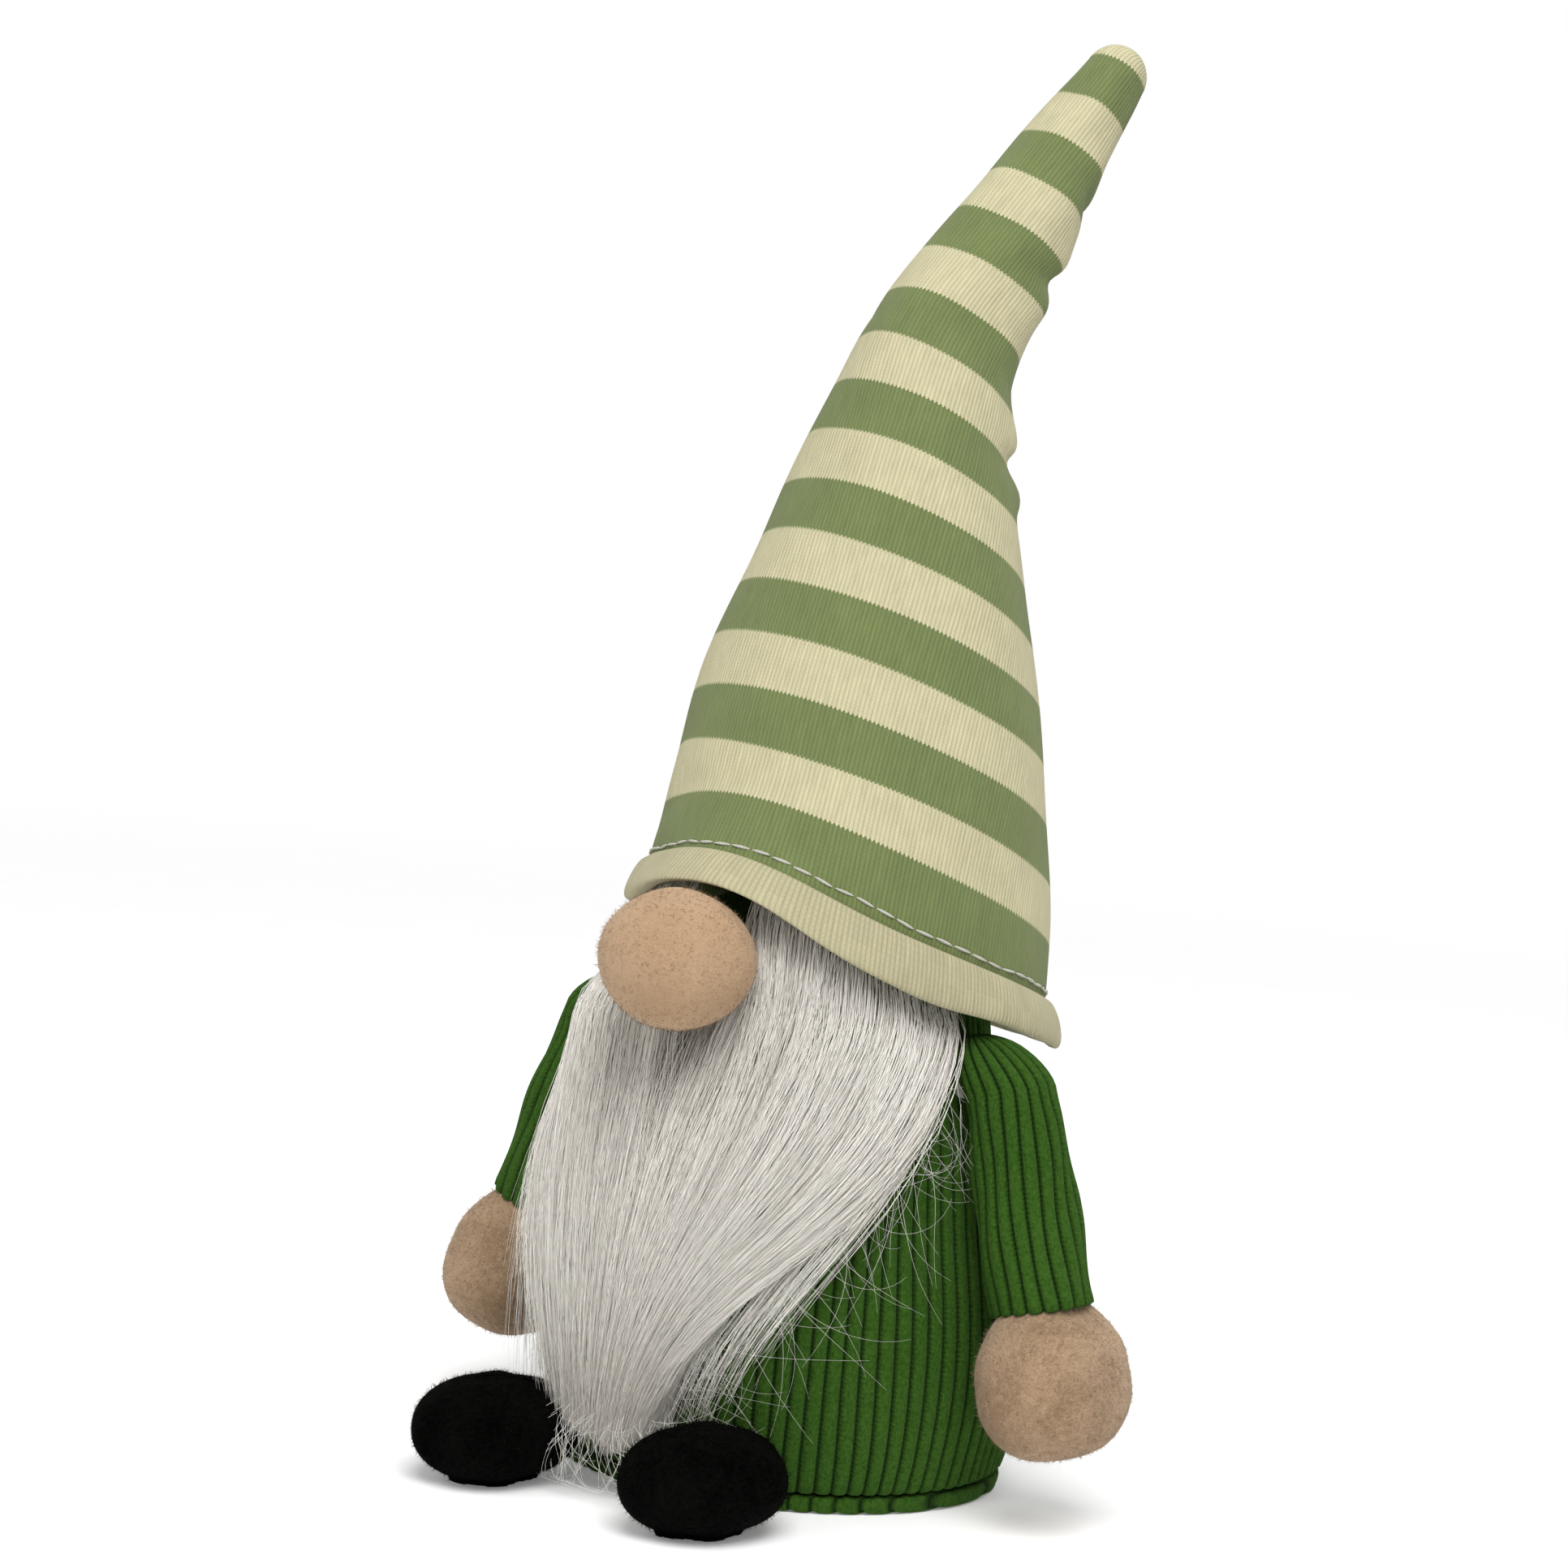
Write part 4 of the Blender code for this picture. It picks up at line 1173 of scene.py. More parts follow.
@dataclass
class Body:
    """The corduroy pear and the panel under it."""

    ribs: RibRecipe
    form: BodyForm = field(default_factory=BodyForm)
    wales: int = 84
    columns_per_wale: int = 8
    rib_height: float = 1.05 * MM
    rib_sink: float = 0.75 * MM
    seam_at: float = 3.9 * MM
    side_seams: tuple[float, float] = (math.radians(95), math.radians(-95))
    side_seam_depth: float = 0.8 * MM
    side_seam_width: float = 0.045
    base_columns: int = 336
    base_steps: int = 44
    under_relief: float = 0.8 * MM
    rim_relief: float = 0.5 * MM

    def lumps(self, angle: Array, z: Array) -> Array:
        """The uneven fullness of the filling, and the side seams.

        Args:
            angle: The angle round the gnome.
            z: The height above the floor.

        Returns:
            The height over the plain pear.
        """
        low = smooth(z / (20.0 * MM)) * smooth((110.0 * MM - z) / (30.0 * MM))
        out = 0.7 * MM * np.sin(3.0 * angle + 35.0 * z) + 0.5 * MM * np.sin(5.0 * angle - 80.0 * z + 2.0)
        out += 0.35 * MM * np.sin(2.0 * angle + 150.0 * z)
        for seam in self.side_seams:
            groove = np.exp(-((around_gap(angle, seam) / self.side_seam_width) ** 2))
            out = out - self.side_seam_depth * groove
        return out * low

    def build_shell(self) -> bpy.types.Object:
        """The pear, closed under its base seam.

        Returns:
            The piece.
        """
        form = self.form
        dome = np.radians(np.linspace(86.0, 6.0, 15))
        crown_z = form.head_height + form.crown_rise * np.sin(dome)
        sides = np.linspace(form.head_height, self.seam_at + 1.2 * MM, 84)
        under = [self.seam_at + 0.4 * MM, self.seam_at, self.seam_at, self.seam_at]
        z = np.concatenate([crown_z, sides, under])
        radius = np.concatenate([form.radius(crown_z), form.radius(sides)])
        rim = form.radius(np.array(self.seam_at))
        radius = np.concatenate([radius, [rim - 0.2 * MM, rim - 1.1 * MM, rim - 3.0 * MM, 0.5 * rim]])
        columns = self.wales * self.columns_per_wale
        turns = np.linspace(0.0, TURN, columns + 1) + math.pi
        angle, height = np.meshgrid(turns[:-1], z)
        sway = 0.010 * np.sin(4.0 * angle + 30.0 * height) + 0.006 * np.sin(9.0 * angle - 95.0 * height)
        wide = radius[:, None] + self.lumps(angle, height) - self.rib_sink
        rings = polar(angle + sway, np.clip(wide, 1.0 * MM, None), height)
        stands = np.ones(len(z))
        stands[:8] = np.linspace(0.0, 0.9, 8)
        stands[-4:] = (0.5, 0.0, 0.0, 0.0)
        wale = np.repeat((np.arange(columns) / self.columns_per_wale)[None], len(z), axis=0)
        down = np.concatenate([[0.0], np.cumsum(np.hypot(np.diff(radius), np.diff(z)))])
        across = np.repeat((np.arange(columns + 1) / self.columns_per_wale)[None], len(z), axis=0)
        along = np.repeat(down[:, None], columns + 1, axis=1)
        marks = {"wale": wale, "raise": np.repeat(stands[:, None], columns, axis=1)}
        piece = loft("body_corduroy_shell", rings, np.stack([across, along], axis=-1), marks)
        return self.ribs.run(piece, GREEN_CORDUROY, rib_height=self.rib_height, flatness=RIB_FLATNESS)

    def build_base(self) -> bpy.types.Object:
        """The round panel that the gnome stands on, its ribs running sideways.

        Returns:
            The piece.
        """
        low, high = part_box("base_panel")
        rim = high.x
        steps = np.linspace(0.0, 1.0, self.base_steps)
        above = [0.4 * rim, 0.97 * rim, rim - 0.1 * MM, rim + 0.15 * MM, rim]
        radius = np.concatenate([above, (rim - 0.6 * MM) * (1.0 - steps**1.1) + 0.4 * MM])
        top = high.z
        above_z = [top, top, top - 0.25 * MM, 0.55 * top, 0.22 * top]
        z = np.concatenate([above_z, np.full(self.base_steps, low.z + 0.02 * MM)])
        z[5] = 0.08 * top
        columns = self.base_columns
        turns = np.linspace(0.0, TURN, columns + 1) + math.pi
        angle, height = np.meshgrid(turns[:-1], z)
        rings = polar(angle, np.repeat(radius[:, None], columns, axis=1), height)
        pitch = TURN * rim / self.wales
        furrow = np.abs(2.0 * ((rings[..., 0] / pitch) % 1.0) - 1.0) ** RIB_FLATNESS
        under = np.zeros(len(z))
        under[5:] = 1.0
        rings[..., 2] += under[:, None] * furrow * self.under_relief
        shrink = np.zeros(len(z))
        shrink[2:5] = 1.0
        rings[..., :2] *= 1.0 - (shrink[:, None] * furrow * self.rim_relief / rim)[..., None]
        full_angle, _ = np.meshgrid(turns, z)
        spread = polar(full_angle, np.repeat(radius[:, None], columns + 1, axis=1), 0.0)
        uv = np.stack([spread[..., 0] / pitch, spread[..., 1]], axis=-1)
        return loft("base_corduroy_panel", rings, uv)

    def build(self) -> None:
        """Builds and dresses both pieces."""
        shell = dress(self.build_shell(), GREEN_CORDUROY)
        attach(shell, "torso")
        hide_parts("body_shell")
        base = dress(self.build_base(), GREEN_CORDUROY)
        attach(base, "torso")
        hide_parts("base_panel")
        for piece in (shell, base):
            report(piece)


@dataclass(frozen=True)
class Pad:
    """A small stuffed form: an egg, with corners fuller than a ball's where square is below 1."""

    radii: tuple[float, float, float]
    square: float = 1.0
    rows: int = 72
    columns: int = 112

    def filled(self, part: Array) -> Array:
        """Fills a part of a direction out towards a corner, with its sign kept."""
        return np.sign(part) * np.abs(part) ** self.square

    def rings(self) -> tuple[Array, Array, Array]:
        """Points of the form round its middle, with their angles up and round.

        Returns:
            The points by ring and column, the angle up and the angle round.
        """
        rise = np.radians(np.linspace(-88.5, 88.5, self.rows))
        turns = np.linspace(0.0, TURN, self.columns, endpoint=False)
        around, up = np.meshgrid(turns, rise)
        flat, high = self.filled(np.cos(up)), self.filled(np.sin(up))
        side, deep = self.filled(np.cos(around)), self.filled(np.sin(around))
        points = np.stack([flat * side, flat * deep, high], axis=-1) * np.array(self.radii)
        return points, up, around

    def piece(self, name: str, points: Array) -> bpy.types.Object:
        """The closed piece over the form's moved points.

        Args:
            name: The piece's name.
            points: The form's points by ring and column.

        Returns:
            The piece.
        """
        across = np.linspace(0.0, TURN * self.radii[0], self.columns + 1)
        along = np.linspace(0.0, math.pi * self.radii[2], self.rows)
        grid_across, grid_along = np.meshgrid(across, along)
        return loft(name, points, np.stack([grid_across, grid_along], axis=-1))


@dataclass
class Nose:
    """The round fleece nose under the hat's rim."""

    fuzz: FuzzRecipe
    radius: float = 15.6 * MM
    squash: float = 0.88
    square: float = 0.98
    back_squash: float = 0.84

    def build(self) -> None:
        """Builds, dresses and seats the nose."""
        low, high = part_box("nose_cover")
        centre = np.array([0.5 * (low.x + high.x), low.y + self.radius, 0.5 * (low.z + high.z)])
        pad = Pad((self.radius, self.radius, self.radius * self.squash), self.square)
        points, up, around = pad.rings()
        lump = 1.0 + 0.012 * np.sin(3.0 * around + 2.0 * up) + 0.010 * np.sin(2.0 * around - 4.0 * up + 1.0)
        points = points * lump[..., None]
        behind = points[..., 1] > 0.0
        points[..., 1] = np.where(behind, self.back_squash * points[..., 1], points[..., 1])
        nose = pad.piece("nose_fleece_ball", points + centre)
        self.fuzz.run(nose, NOSE_FLEECE, density=1.1e6, length=1.1 * MM, thickness=0.05 * MM, seed=11)
        dress(nose, NOSE_FLEECE)
        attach(nose, "torso")
        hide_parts("nose_cover")
        report(nose)


@dataclass
class Arm:
    """One hanging arm: its ribbed sleeve and its felt mitten."""

    side: Side
    ribs: RibRecipe
    fuzz: FuzzRecipe
    splay: float = 0.2889
    length: float = 42.5 * MM
    top_radius: float = 8.8 * MM
    cuff_radius: float = 10.6 * MM
    shoulder_rise: float = 12.5 * MM
    shoulder_lean: float = 0.52
    wales: int = 19
    columns_per_wale: int = 8
    rib_height: float = 1.0 * MM
    hand: tuple[float, float, float] = (12.5 * MM, 16.4 * MM, 16.3 * MM)
    hand_square: float = 0.74
    hand_tuck: float = 3.0 * MM
    gap: float = 0.4 * MM

    def seat(self, points: Array) -> Array:
        """Carries points from the arm's own axes, with its pivot at 0, to the frame.

        Args:
            points: Points in the arm's own axes.

        Returns:
            The same points in the frame.
        """
        joint = next(j for j in frame["joints"] if j["name"] == self.side.word + "_arm_swing")
        turn = np.array(Matrix.Rotation(-self.side.value * self.splay, 3, "Y"))
        return points @ turn.T + np.array(joint["pos_m"])

    def build_sleeve(self) -> bpy.types.Object:
        """The sleeve: a round top, lengthwise ribs and a cuff turned in.

        Returns:
            The piece.
        """
        dome = np.radians(np.linspace(84.0, 6.0, 12))
        down = np.linspace(0.0, self.length, 62)
        cuff_in = np.array([0.3, 0.25, -0.6, -2.5, -5.0]) * MM
        z = np.concatenate([self.shoulder_rise * np.sin(dome), -down, -self.length - cuff_in])
        side = mix(self.top_radius, self.cuff_radius, down / self.length)
        rim = self.cuff_radius
        turned = np.array([rim - 0.5 * MM, rim - 1.2 * MM, rim - 1.7 * MM, rim - 1.8 * MM, 0.5 * rim])
        radius = np.concatenate([self.top_radius * np.cos(dome), side, turned])
        columns = self.wales * self.columns_per_wale
        turns = np.linspace(0.0, TURN, columns + 1) + 0.5 * math.pi
        angle, height = np.meshgrid(turns[:-1], z)
        spin = 0.05 * np.sin(90.0 * height + 1.0) + 0.03 * np.sin(3.0 * angle + 120.0 * height)
        dents = 0.45 * MM * np.sin(2.0 * angle + 140.0 * height)
        dents = dents + 0.3 * MM * np.sin(3.0 * angle - 260.0 * height + self.side.value)
        dents = dents * smooth(-height / (6.0 * MM)) * smooth((height + self.length + 6.0 * MM) / (8.0 * MM))
        wide = np.clip(radius[:, None] + dents - 0.7 * MM, 0.4 * MM, None)
        rings = np.stack([wide * np.sin(angle + spin), -wide * np.cos(angle + spin), height], axis=-1)
        above = np.clip(height, 0.0, None)
        rings[..., 0] -= self.side.value * self.shoulder_lean * above**1.3 / self.shoulder_rise**0.3
        stands = np.ones(len(z))
        stands[:6] = np.linspace(0.0, 0.9, 6)
        stands[-5:] = (0.7, 0.3, 0.0, 0.0, 0.0)
        wale = np.repeat((np.arange(columns) / self.columns_per_wale)[None], len(z), axis=0)
        run = np.concatenate([[0.0], np.cumsum(np.hypot(np.diff(radius), np.diff(z)))])
        across = np.repeat((np.arange(columns + 1) / self.columns_per_wale)[None], len(z), axis=0)
        uv = np.stack([across, np.repeat(run[:, None], columns + 1, axis=1)], axis=-1)
        marks = {"wale": wale, "raise": np.repeat(stands[:, None], columns, axis=1)}
        piece = loft(self.side.word + "_corduroy_sleeve", self.seat(rings), uv, marks)
        return self.ribs.run(piece, GREEN_CORDUROY, rib_height=self.rib_height, flatness=RIB_FLATNESS)

    def build_hand(self) -> bpy.types.Object:
        """The mitten: fullest below its middle, its neck tucked into the cuff.

        Returns:
            The piece.
        """
        pad = Pad(self.hand, self.hand_square)
        points, up, around = pad.rings()
        high = points[..., 2] / self.hand[2]
        width = 1.0 - 0.20 * smooth((high - 0.1) / 0.9) + 0.03 * hump(high, -0.35, 0.35)
        points[..., :2] *= width[..., None]
        lump = 1.0 + 0.015 * np.sin(2.0 * around + 3.0 * up)
        lump = lump + 0.012 * np.sin(3.0 * around - 2.0 * up + self.side.value)
        points[..., :2] *= lump[..., None]
        centre = self.length + self.gap + self.hand[2] - self.hand_tuck
        points[..., 2] -= centre
        piece = pad.piece(self.side.word + "_felt_hand", self.seat(points))
        return self.fuzz.run(piece, HAND_FELT, density=1.0e6, length=1.0 * MM, thickness=0.05 * MM,
                             seed=21 if self.side is Side.LEFT else 22)

    def build(self) -> None:
        """Builds and dresses the sleeve and the hand."""
        word = self.side.word
        sleeve = dress(self.build_sleeve(), GREEN_CORDUROY)
        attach(sleeve, word + "_arm")
        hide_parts(word + "_sleeve")
        hand = dress(self.build_hand(), HAND_FELT)
        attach(hand, word + "_arm")
        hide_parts(word + "_hand")
        for piece in (sleeve, hand):
            report(piece)


@dataclass
class Foot:
    """One black fleece foot, flat where it stands."""

    side: Side
    fuzz: FuzzRecipe
    sole: float = 1.2 * MM
    square: float = 0.94
    toe_dent: float = 0.8 * MM
    sole_press: float = 0.85

    def build(self) -> None:
        """Builds, dresses and seats the foot."""
        word = self.side.word
        low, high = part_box(word + "_foot_upper")
        sole_low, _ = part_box(word + "_foot_sole")
        half = 0.5 * (high - low)
        height = 0.5 * (high.z - sole_low.z)
        centre = np.array([0.5 * (low.x + high.x), 0.5 * (low.y + high.y), sole_low.z + height])
        pad = Pad((half.x, half.y, height), self.square)
        points, up, around = pad.rings()
        back = points[..., 1] / half.y
        points[..., 0] *= 1.0 - 0.10 * np.clip(-back, 0.0, 1.0) ** 2 - 0.06 * np.clip(back, 0.0, 1.0) ** 2
        lump = 1.0 + 0.020 * np.sin(3.0 * around + self.side.value) * np.cos(up)
        lump = lump + 0.018 * np.sin(2.0 * up + 5.0 * around)
        points *= lump[..., None]
        toe = np.exp(-((points[..., 0] / (0.22 * half.x)) ** 2)) * smooth((-back - 0.55) / 0.4)
        points[..., 1] += self.toe_dent * toe
        high_at = np.clip(points[..., 2], -height + 0.05 * MM, height)
        pressed = mix(high_at, -height, self.sole_press)
        points[..., 2] = np.where(high_at < -height + self.sole, pressed, high_at)
        foot = pad.piece(word + "_fleece_foot", points + centre)
        self.fuzz.run(foot, FOOT_FLEECE, density=1.1e6, length=1.1 * MM, thickness=0.055 * MM,
                      seed=31 if self.side is Side.LEFT else 32)
        for vertex in foot.data.vertices:
            vertex.co.z = max(vertex.co.z, sole_low.z)
        dress(foot, FOOT_FLEECE)
        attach(foot, word + "_foot")
        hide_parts(word + "_foot_upper", word + "_foot_sole")
        report(foot)


@dataclass
class Beard:
    """The fur beard: its knitted ground, a soft undercoat and thousands of long strands."""

    strands_recipe: StrandRecipe
    form: BodyForm = field(default_factory=BodyForm)
    top: float = 105.0 * MM
    tip: float = 9.0 * MM
    standoff: float = 2.4 * MM
    ground: float = 1.0 * MM
    locks: int = 6
    strands_per_lock: int = 3600
    steps: int = 9
    clumps: int = 520
    strand_width: float = 0.105 * MM
    lock_seed: int = 40
    loose_hairs: int = 340
    loose_steps: int = 16
    loose_width: float = 0.10 * MM
    loose_seed: int = 77
    lowest_edge: float = 13.0 * MM
    edge_span: float = 84.0 * MM
    left_reach: tuple[float, float] = (math.radians(8), math.radians(79))
    right_reach: tuple[float, float] = (math.radians(12), math.radians(92))
    coat_share: float = 0.93
    ground_share: float = 0.90
    ground_foot: float = 15.0 * MM
    coat_top: float = 90.0 * MM
    ground_top: float = 95.5 * MM
    ground_area: float = 0.0
    sheet_length: float = 83.0 * MM
    sheet_turning: float = 6.0 * MM
    cloth_span: float = 0.18
    nose_gap: float = math.radians(10)
    nose_below: float = 95.0 * MM
    swing_from: float = 88.0 * MM
    swing_to: float = 70.0 * MM

    def edge(self, z: Any, left: Any) -> Array:
        """How far the fur reaches round to one side at a height.

        Args:
            z: The height.
            left: True on the gnome's own left.

        Returns:
            The angle from the front.
        """
        t = np.clip((np.asarray(z, float) - self.lowest_edge) / self.edge_span, 0.0, 1.0)
        left_share = t - 0.065 * np.sin(TURN * t) - 0.11 * np.sin(math.pi * t)
        right_share = t**1.3
        left_edge = mix(*self.left_reach, left_share)
        right_edge = mix(*self.right_reach, right_share)
        return np.where(left, left_edge, right_edge)

    def rim(self, angle: Any) -> Array:
        """The height just above the hat's leaning rim at an angle.

        Args:
            angle: The angle round the gnome.

        Returns:
            The height above the floor.
        """
        lean = 4.5 + 9.5 * np.cos(angle) - 5.0 * np.sin(angle)
        lean = lean + 8.0 * hump(angle, 0.0, 0.6) + 3.5 * hump(angle, 0.38, 0.4)
        return self.form.head_height + lean * MM

    def hang(self, z: Any) -> Array:
        """The radius that hanging fur follows: the body's, but straight down past the belly.

        Args:
            z: The height above the floor.

        Returns:
            The radius.
        """
        z = np.asarray(z, float)
        held = self.form.radius(np.clip(z, 24.0 * MM, 98.0 * MM))
        return held + 1.5 * MM * smooth((40.0 * MM - z) / (30.0 * MM))

    def paths(self, rng: np.random.Generator, count: int) -> tuple[Array, Array, Array]:
        """Paths of strands that leave the ground, roll over and hang in locks.

        Args:
            rng: The seeded source of chance.
            count: How many strands.

        Returns:
            The points by strand and step, the radius mark and the tone mark.
        """
        side = rng.uniform(-1.0, 1.0, count)
        top = self.rim(side * self.edge(self.top, side > 0))
        root_z = mix(18.0 * MM, top, rng.random(count) ** 0.62)
        angle = side * self.edge(root_z, side > 0)
        under_nose = (np.abs(angle) < self.nose_gap) & (root_z > self.nose_below)
        root_z = np.where(under_nose, rng.uniform(74.0 * MM, self.nose_below, count), root_z)
        lock_side = rng.uniform(-1.0, 1.0, self.clumps)
        lock_z = mix(18.0 * MM, self.top, rng.random(self.clumps) ** 0.72)
        away = ((side[:, None] - lock_side) / 0.10) ** 2 + ((root_z[:, None] - lock_z) / (13.0 * MM)) ** 2
        lock = np.argmin(away, axis=1)
        lock_drift = rng.normal(0.0, 0.045, self.clumps)
        lock_lift = rng.uniform(-1.0, 1.0, self.clumps)
        lock_tone = rng.uniform(-1.0, 1.0, self.clumps)
        length = rng.uniform(34.0 * MM, 62.0 * MM, count) * (1.0 + 0.12 * lock_lift[lock])
        lowest = self.tip + 5.0 * MM * np.abs(side) ** 1.5 + rng.uniform(0.0, 10.0 * MM, count)
        length = np.clip(np.minimum(length, root_z - lowest), 7.0 * MM, None)
        t = np.linspace(0.0, 1.0, self.steps)[None, :]
        z = root_z[:, None] - length[:, None] * (0.80 * t + 0.20 * t * t)
        z = np.clip(z, 5.0 * MM, None)
        gather = 0.90 * smooth(t) * (1.0 - 0.35 * rng.random(count))[:, None]
        across = side[:, None] + (lock_side[lock] - side)[:, None] * gather + lock_drift[lock][:, None] * t
        stray = rng.normal(0.0, 0.03, count)[:, None] * t**2
        across = np.clip(across + stray, -1.04, 1.04)
        around = across * self.edge(z, side[:, None] > 0)
        loose = (np.abs(side) > 0.8) & (rng.random(count) < 0.10)
        start = around[:, :1]
        around = np.where(loose[:, None], mix(around, start * (1.0 - 0.25 * t), 0.35), around)
        depth = rng.random(count) ** 0.8
        grown = 1.0 - np.exp(-5.5 * t)
        height = self.standoff + self.ground + (1.0 + 5.6 * depth[:, None]) * MM * grown
        height = height + (0.045 * depth[:, None] + 0.022) * length[:, None] * t
        height = height + 0.9 * MM * lock_lift[lock][:, None] * t
        wave_phase = rng.uniform(0.0, TURN, (2, count, 1))
        wave = np.sin(TURN * 1.2 * t + wave_phase[0]) * t
        height = np.clip(height + 0.35 * MM * wave, self.standoff + 0.3 * MM, None)
        outer = smooth(np.abs(around) / math.radians(60)) * (around < 0)
        height = height + 4.0 * MM * depth[:, None] * grown * hump(z, 90.0 * MM, 14.0 * MM) * outer
        height = height - 1.5 * MM * outer * grown
        radius = self.hang(z) + height
        around = around + 0.5 * MM / radius * np.sin(TURN * 1.6 * t + wave_phase[1]) * t
        under_rim = smooth((z - 92.0 * MM) / (12.0 * MM))
        radius = mix(radius, np.minimum(radius, self.hang(z) + 6.5 * MM), under_rim)
        points = polar(around, radius, z)
        taper = np.clip(np.minimum(0.55 + 2.5 * t, 1.25 - 1.05 * t), 0.16, 1.0)
        thick = taper * rng.uniform(0.75, 1.2, (count, 1))
        tone = 0.62 + 0.22 * lock_tone[lock][:, None] + rng.normal(0.0, 0.12, (count, 1))
        # Painted shade in the pile: each strand darker towards its root, more so on strands that lie low
        # under the others.
        tone = tone + 0.28 * smooth(3.0 * t) - 0.16
        tone = tone - 0.25 * (1.0 - depth[:, None]) * (1.0 - t)
        # Painted shade: strands darker towards the bottom of the beard, away from the light above.
        tone = np.clip(tone - 0.55 * smooth((46.0 * MM - z) / (34.0 * MM)), 0.0, 1.0)
        return points, thick, tone

    def flyaways(self, rng: np.random.Generator, count: int) -> tuple[Array, Array, Array]:
        """Fine loose hairs that curl away from the edges, over the body and the feet.

        Args:
            rng: The seeded source of chance.
            count: How many strands.

        Returns:
            The points by strand and step, the radius mark and the tone mark.
        """
        steps = self.loose_steps
        root_z = rng.uniform(14.0 * MM, 90.0 * MM, count)
        on_left = rng.random(count) < 0.72
        side = np.where(on_left, rng.uniform(0.75, 1.05, count), rng.uniform(-1.05, -0.6, count))
        centre = rng.random(count) < 0.3
        side = np.where(centre, rng.uniform(-0.9, 0.9, count), side)
        root_z = np.where(centre, rng.uniform(12.0 * MM, 30.0 * MM, count), root_z)
        length = rng.uniform(10.0 * MM, 34.0 * MM, count)
        angle = side * self.edge(root_z, side > 0)
        heading = rng.normal(0.35, 0.5, count) * np.where(side > 0, 1.0, -1.0)
        bend = rng.normal(0.0, 1.6, count)
        t = np.linspace(0.0, 1.0, steps)[None, :]
        turn = heading[:, None] + bend[:, None] * t
        pace = length[:, None] / (steps - 1)
        slide = np.cumsum(np.sin(turn) * pace, axis=1)
        drop = np.cumsum(np.cos(turn) * pace, axis=1)
        z = np.clip(root_z[:, None] - drop, 3.0 * MM, 97.0 * MM)
        base = self.hang(z)
        lift = self.standoff + rng.uniform(2.0 * MM, 8.0 * MM, (count, 1)) * (1.0 - 0.5 * t)
        lift = lift + 1.0 * MM * np.sin(TURN * t + bend[:, None])
        low = smooth((22.0 * MM - z) / (10.0 * MM)) * centre[:, None]
        radius = base + np.clip(lift + 9.0 * MM * low, 1.2 * MM, 16.0 * MM)
        points = polar(angle[:, None] + slide / radius, radius, z)
        thick = np.repeat(np.clip(0.42 - 0.28 * t, 0.12, 1.0), count, axis=0)
        return points, thick, np.full((count, steps), 0.85)

    def build_coat(self) -> bpy.types.Object:
        """The soft mass of short fur under the strands, closed at its back.

        Returns:
            The piece.
        """
        rows, half_columns = 72, 44
        z = np.linspace(self.coat_top, self.ground_foot, rows)
        across = np.linspace(-1.0, 1.0, 2 * half_columns)
        grid_across, grid_z = np.meshgrid(across, z)
        angle = grid_across * self.edge(grid_z, grid_across > 0) * self.coat_share
        fade = np.clip(1.0 - np.abs(grid_across) ** 6, 0.0, 1.0)
        fade = fade * smooth((grid_z - self.lowest_edge) / (12.0 * MM))
        fade = fade * smooth((91.0 * MM - grid_z) / (16.0 * MM))
        tuft = np.sin(38.0 * grid_across + 3.0 * np.sin(220.0 * grid_z))
        tuft = tuft + np.sin(71.0 * grid_across - 160.0 * grid_z)
        front = self.hang(grid_z) + self.standoff + self.ground + (0.4 + 4.6 * fade + 0.35 * tuft * fade) * MM
        behind = self.hang(grid_z) + self.standoff + self.ground
        outer, inner = polar(angle, front, grid_z), polar(angle, behind, grid_z)
        rings = np.concatenate([outer, inner[:, ::-1]], axis=1)
        grid_u, grid_v = np.meshgrid(np.linspace(0.0, self.cloth_span, rings.shape[1] + 1), z)
        tone = np.full(rings.shape[:2], 0.5)
        return loft("beard_undercoat", rings, np.stack([grid_u, grid_v], axis=-1), {"tone": tone})

    def build_ground(self) -> bpy.types.Object:
        """The knitted ground that the fur grows from, a thin sheet trimmed to the beard's shape.

        Returns:
            The piece.
        """
        rows, columns = 60, 64
        z = np.linspace(self.ground_top, self.ground_foot, rows)
        across = np.linspace(-1.0, 1.0, columns)
        grid_across, grid_z = np.meshgrid(across, z)
        angle = grid_across * self.edge(grid_z, grid_across > 0) * self.ground_share
        inner = polar(angle, self.form.radius(grid_z) + self.standoff, grid_z)
        outer = polar(angle, self.form.radius(grid_z) + self.standoff + self.ground, grid_z)
        rings = np.concatenate([outer, inner[:, ::-1]], axis=1)
        grid_u, grid_v = np.meshgrid(np.linspace(0.0, self.cloth_span, rings.shape[1] + 1), z)
        self.ground_area = self.area(inner)
        return loft("beard_knit_ground", rings, np.stack([grid_u, grid_v], axis=-1))

    @staticmethod
    def area(grid: Array) -> float:
        """Area of a grid of points.

        Args:
            grid: The points by row and column.

        Returns:
            The area in square metres.
        """
        a, b, c, d = grid[:-1, :-1], grid[1:, :-1], grid[1:, 1:], grid[:-1, 1:]
        first = np.linalg.norm(np.cross(b - a, c - a), axis=-1)
        second = np.linalg.norm(np.cross(c - a, d - a), axis=-1)
        return float(0.5 * (first + second).sum())

    def swing(self, piece: bpy.types.Object) -> None:
        """Bakes a piece's placement into its mesh.

        Args:
            piece: The piece.
        """
        middle = 0.5 * (self.swing_from + self.swing_to)
        y = float(-self.form.radius(np.array(middle)) - self.standoff)
        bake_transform(piece)

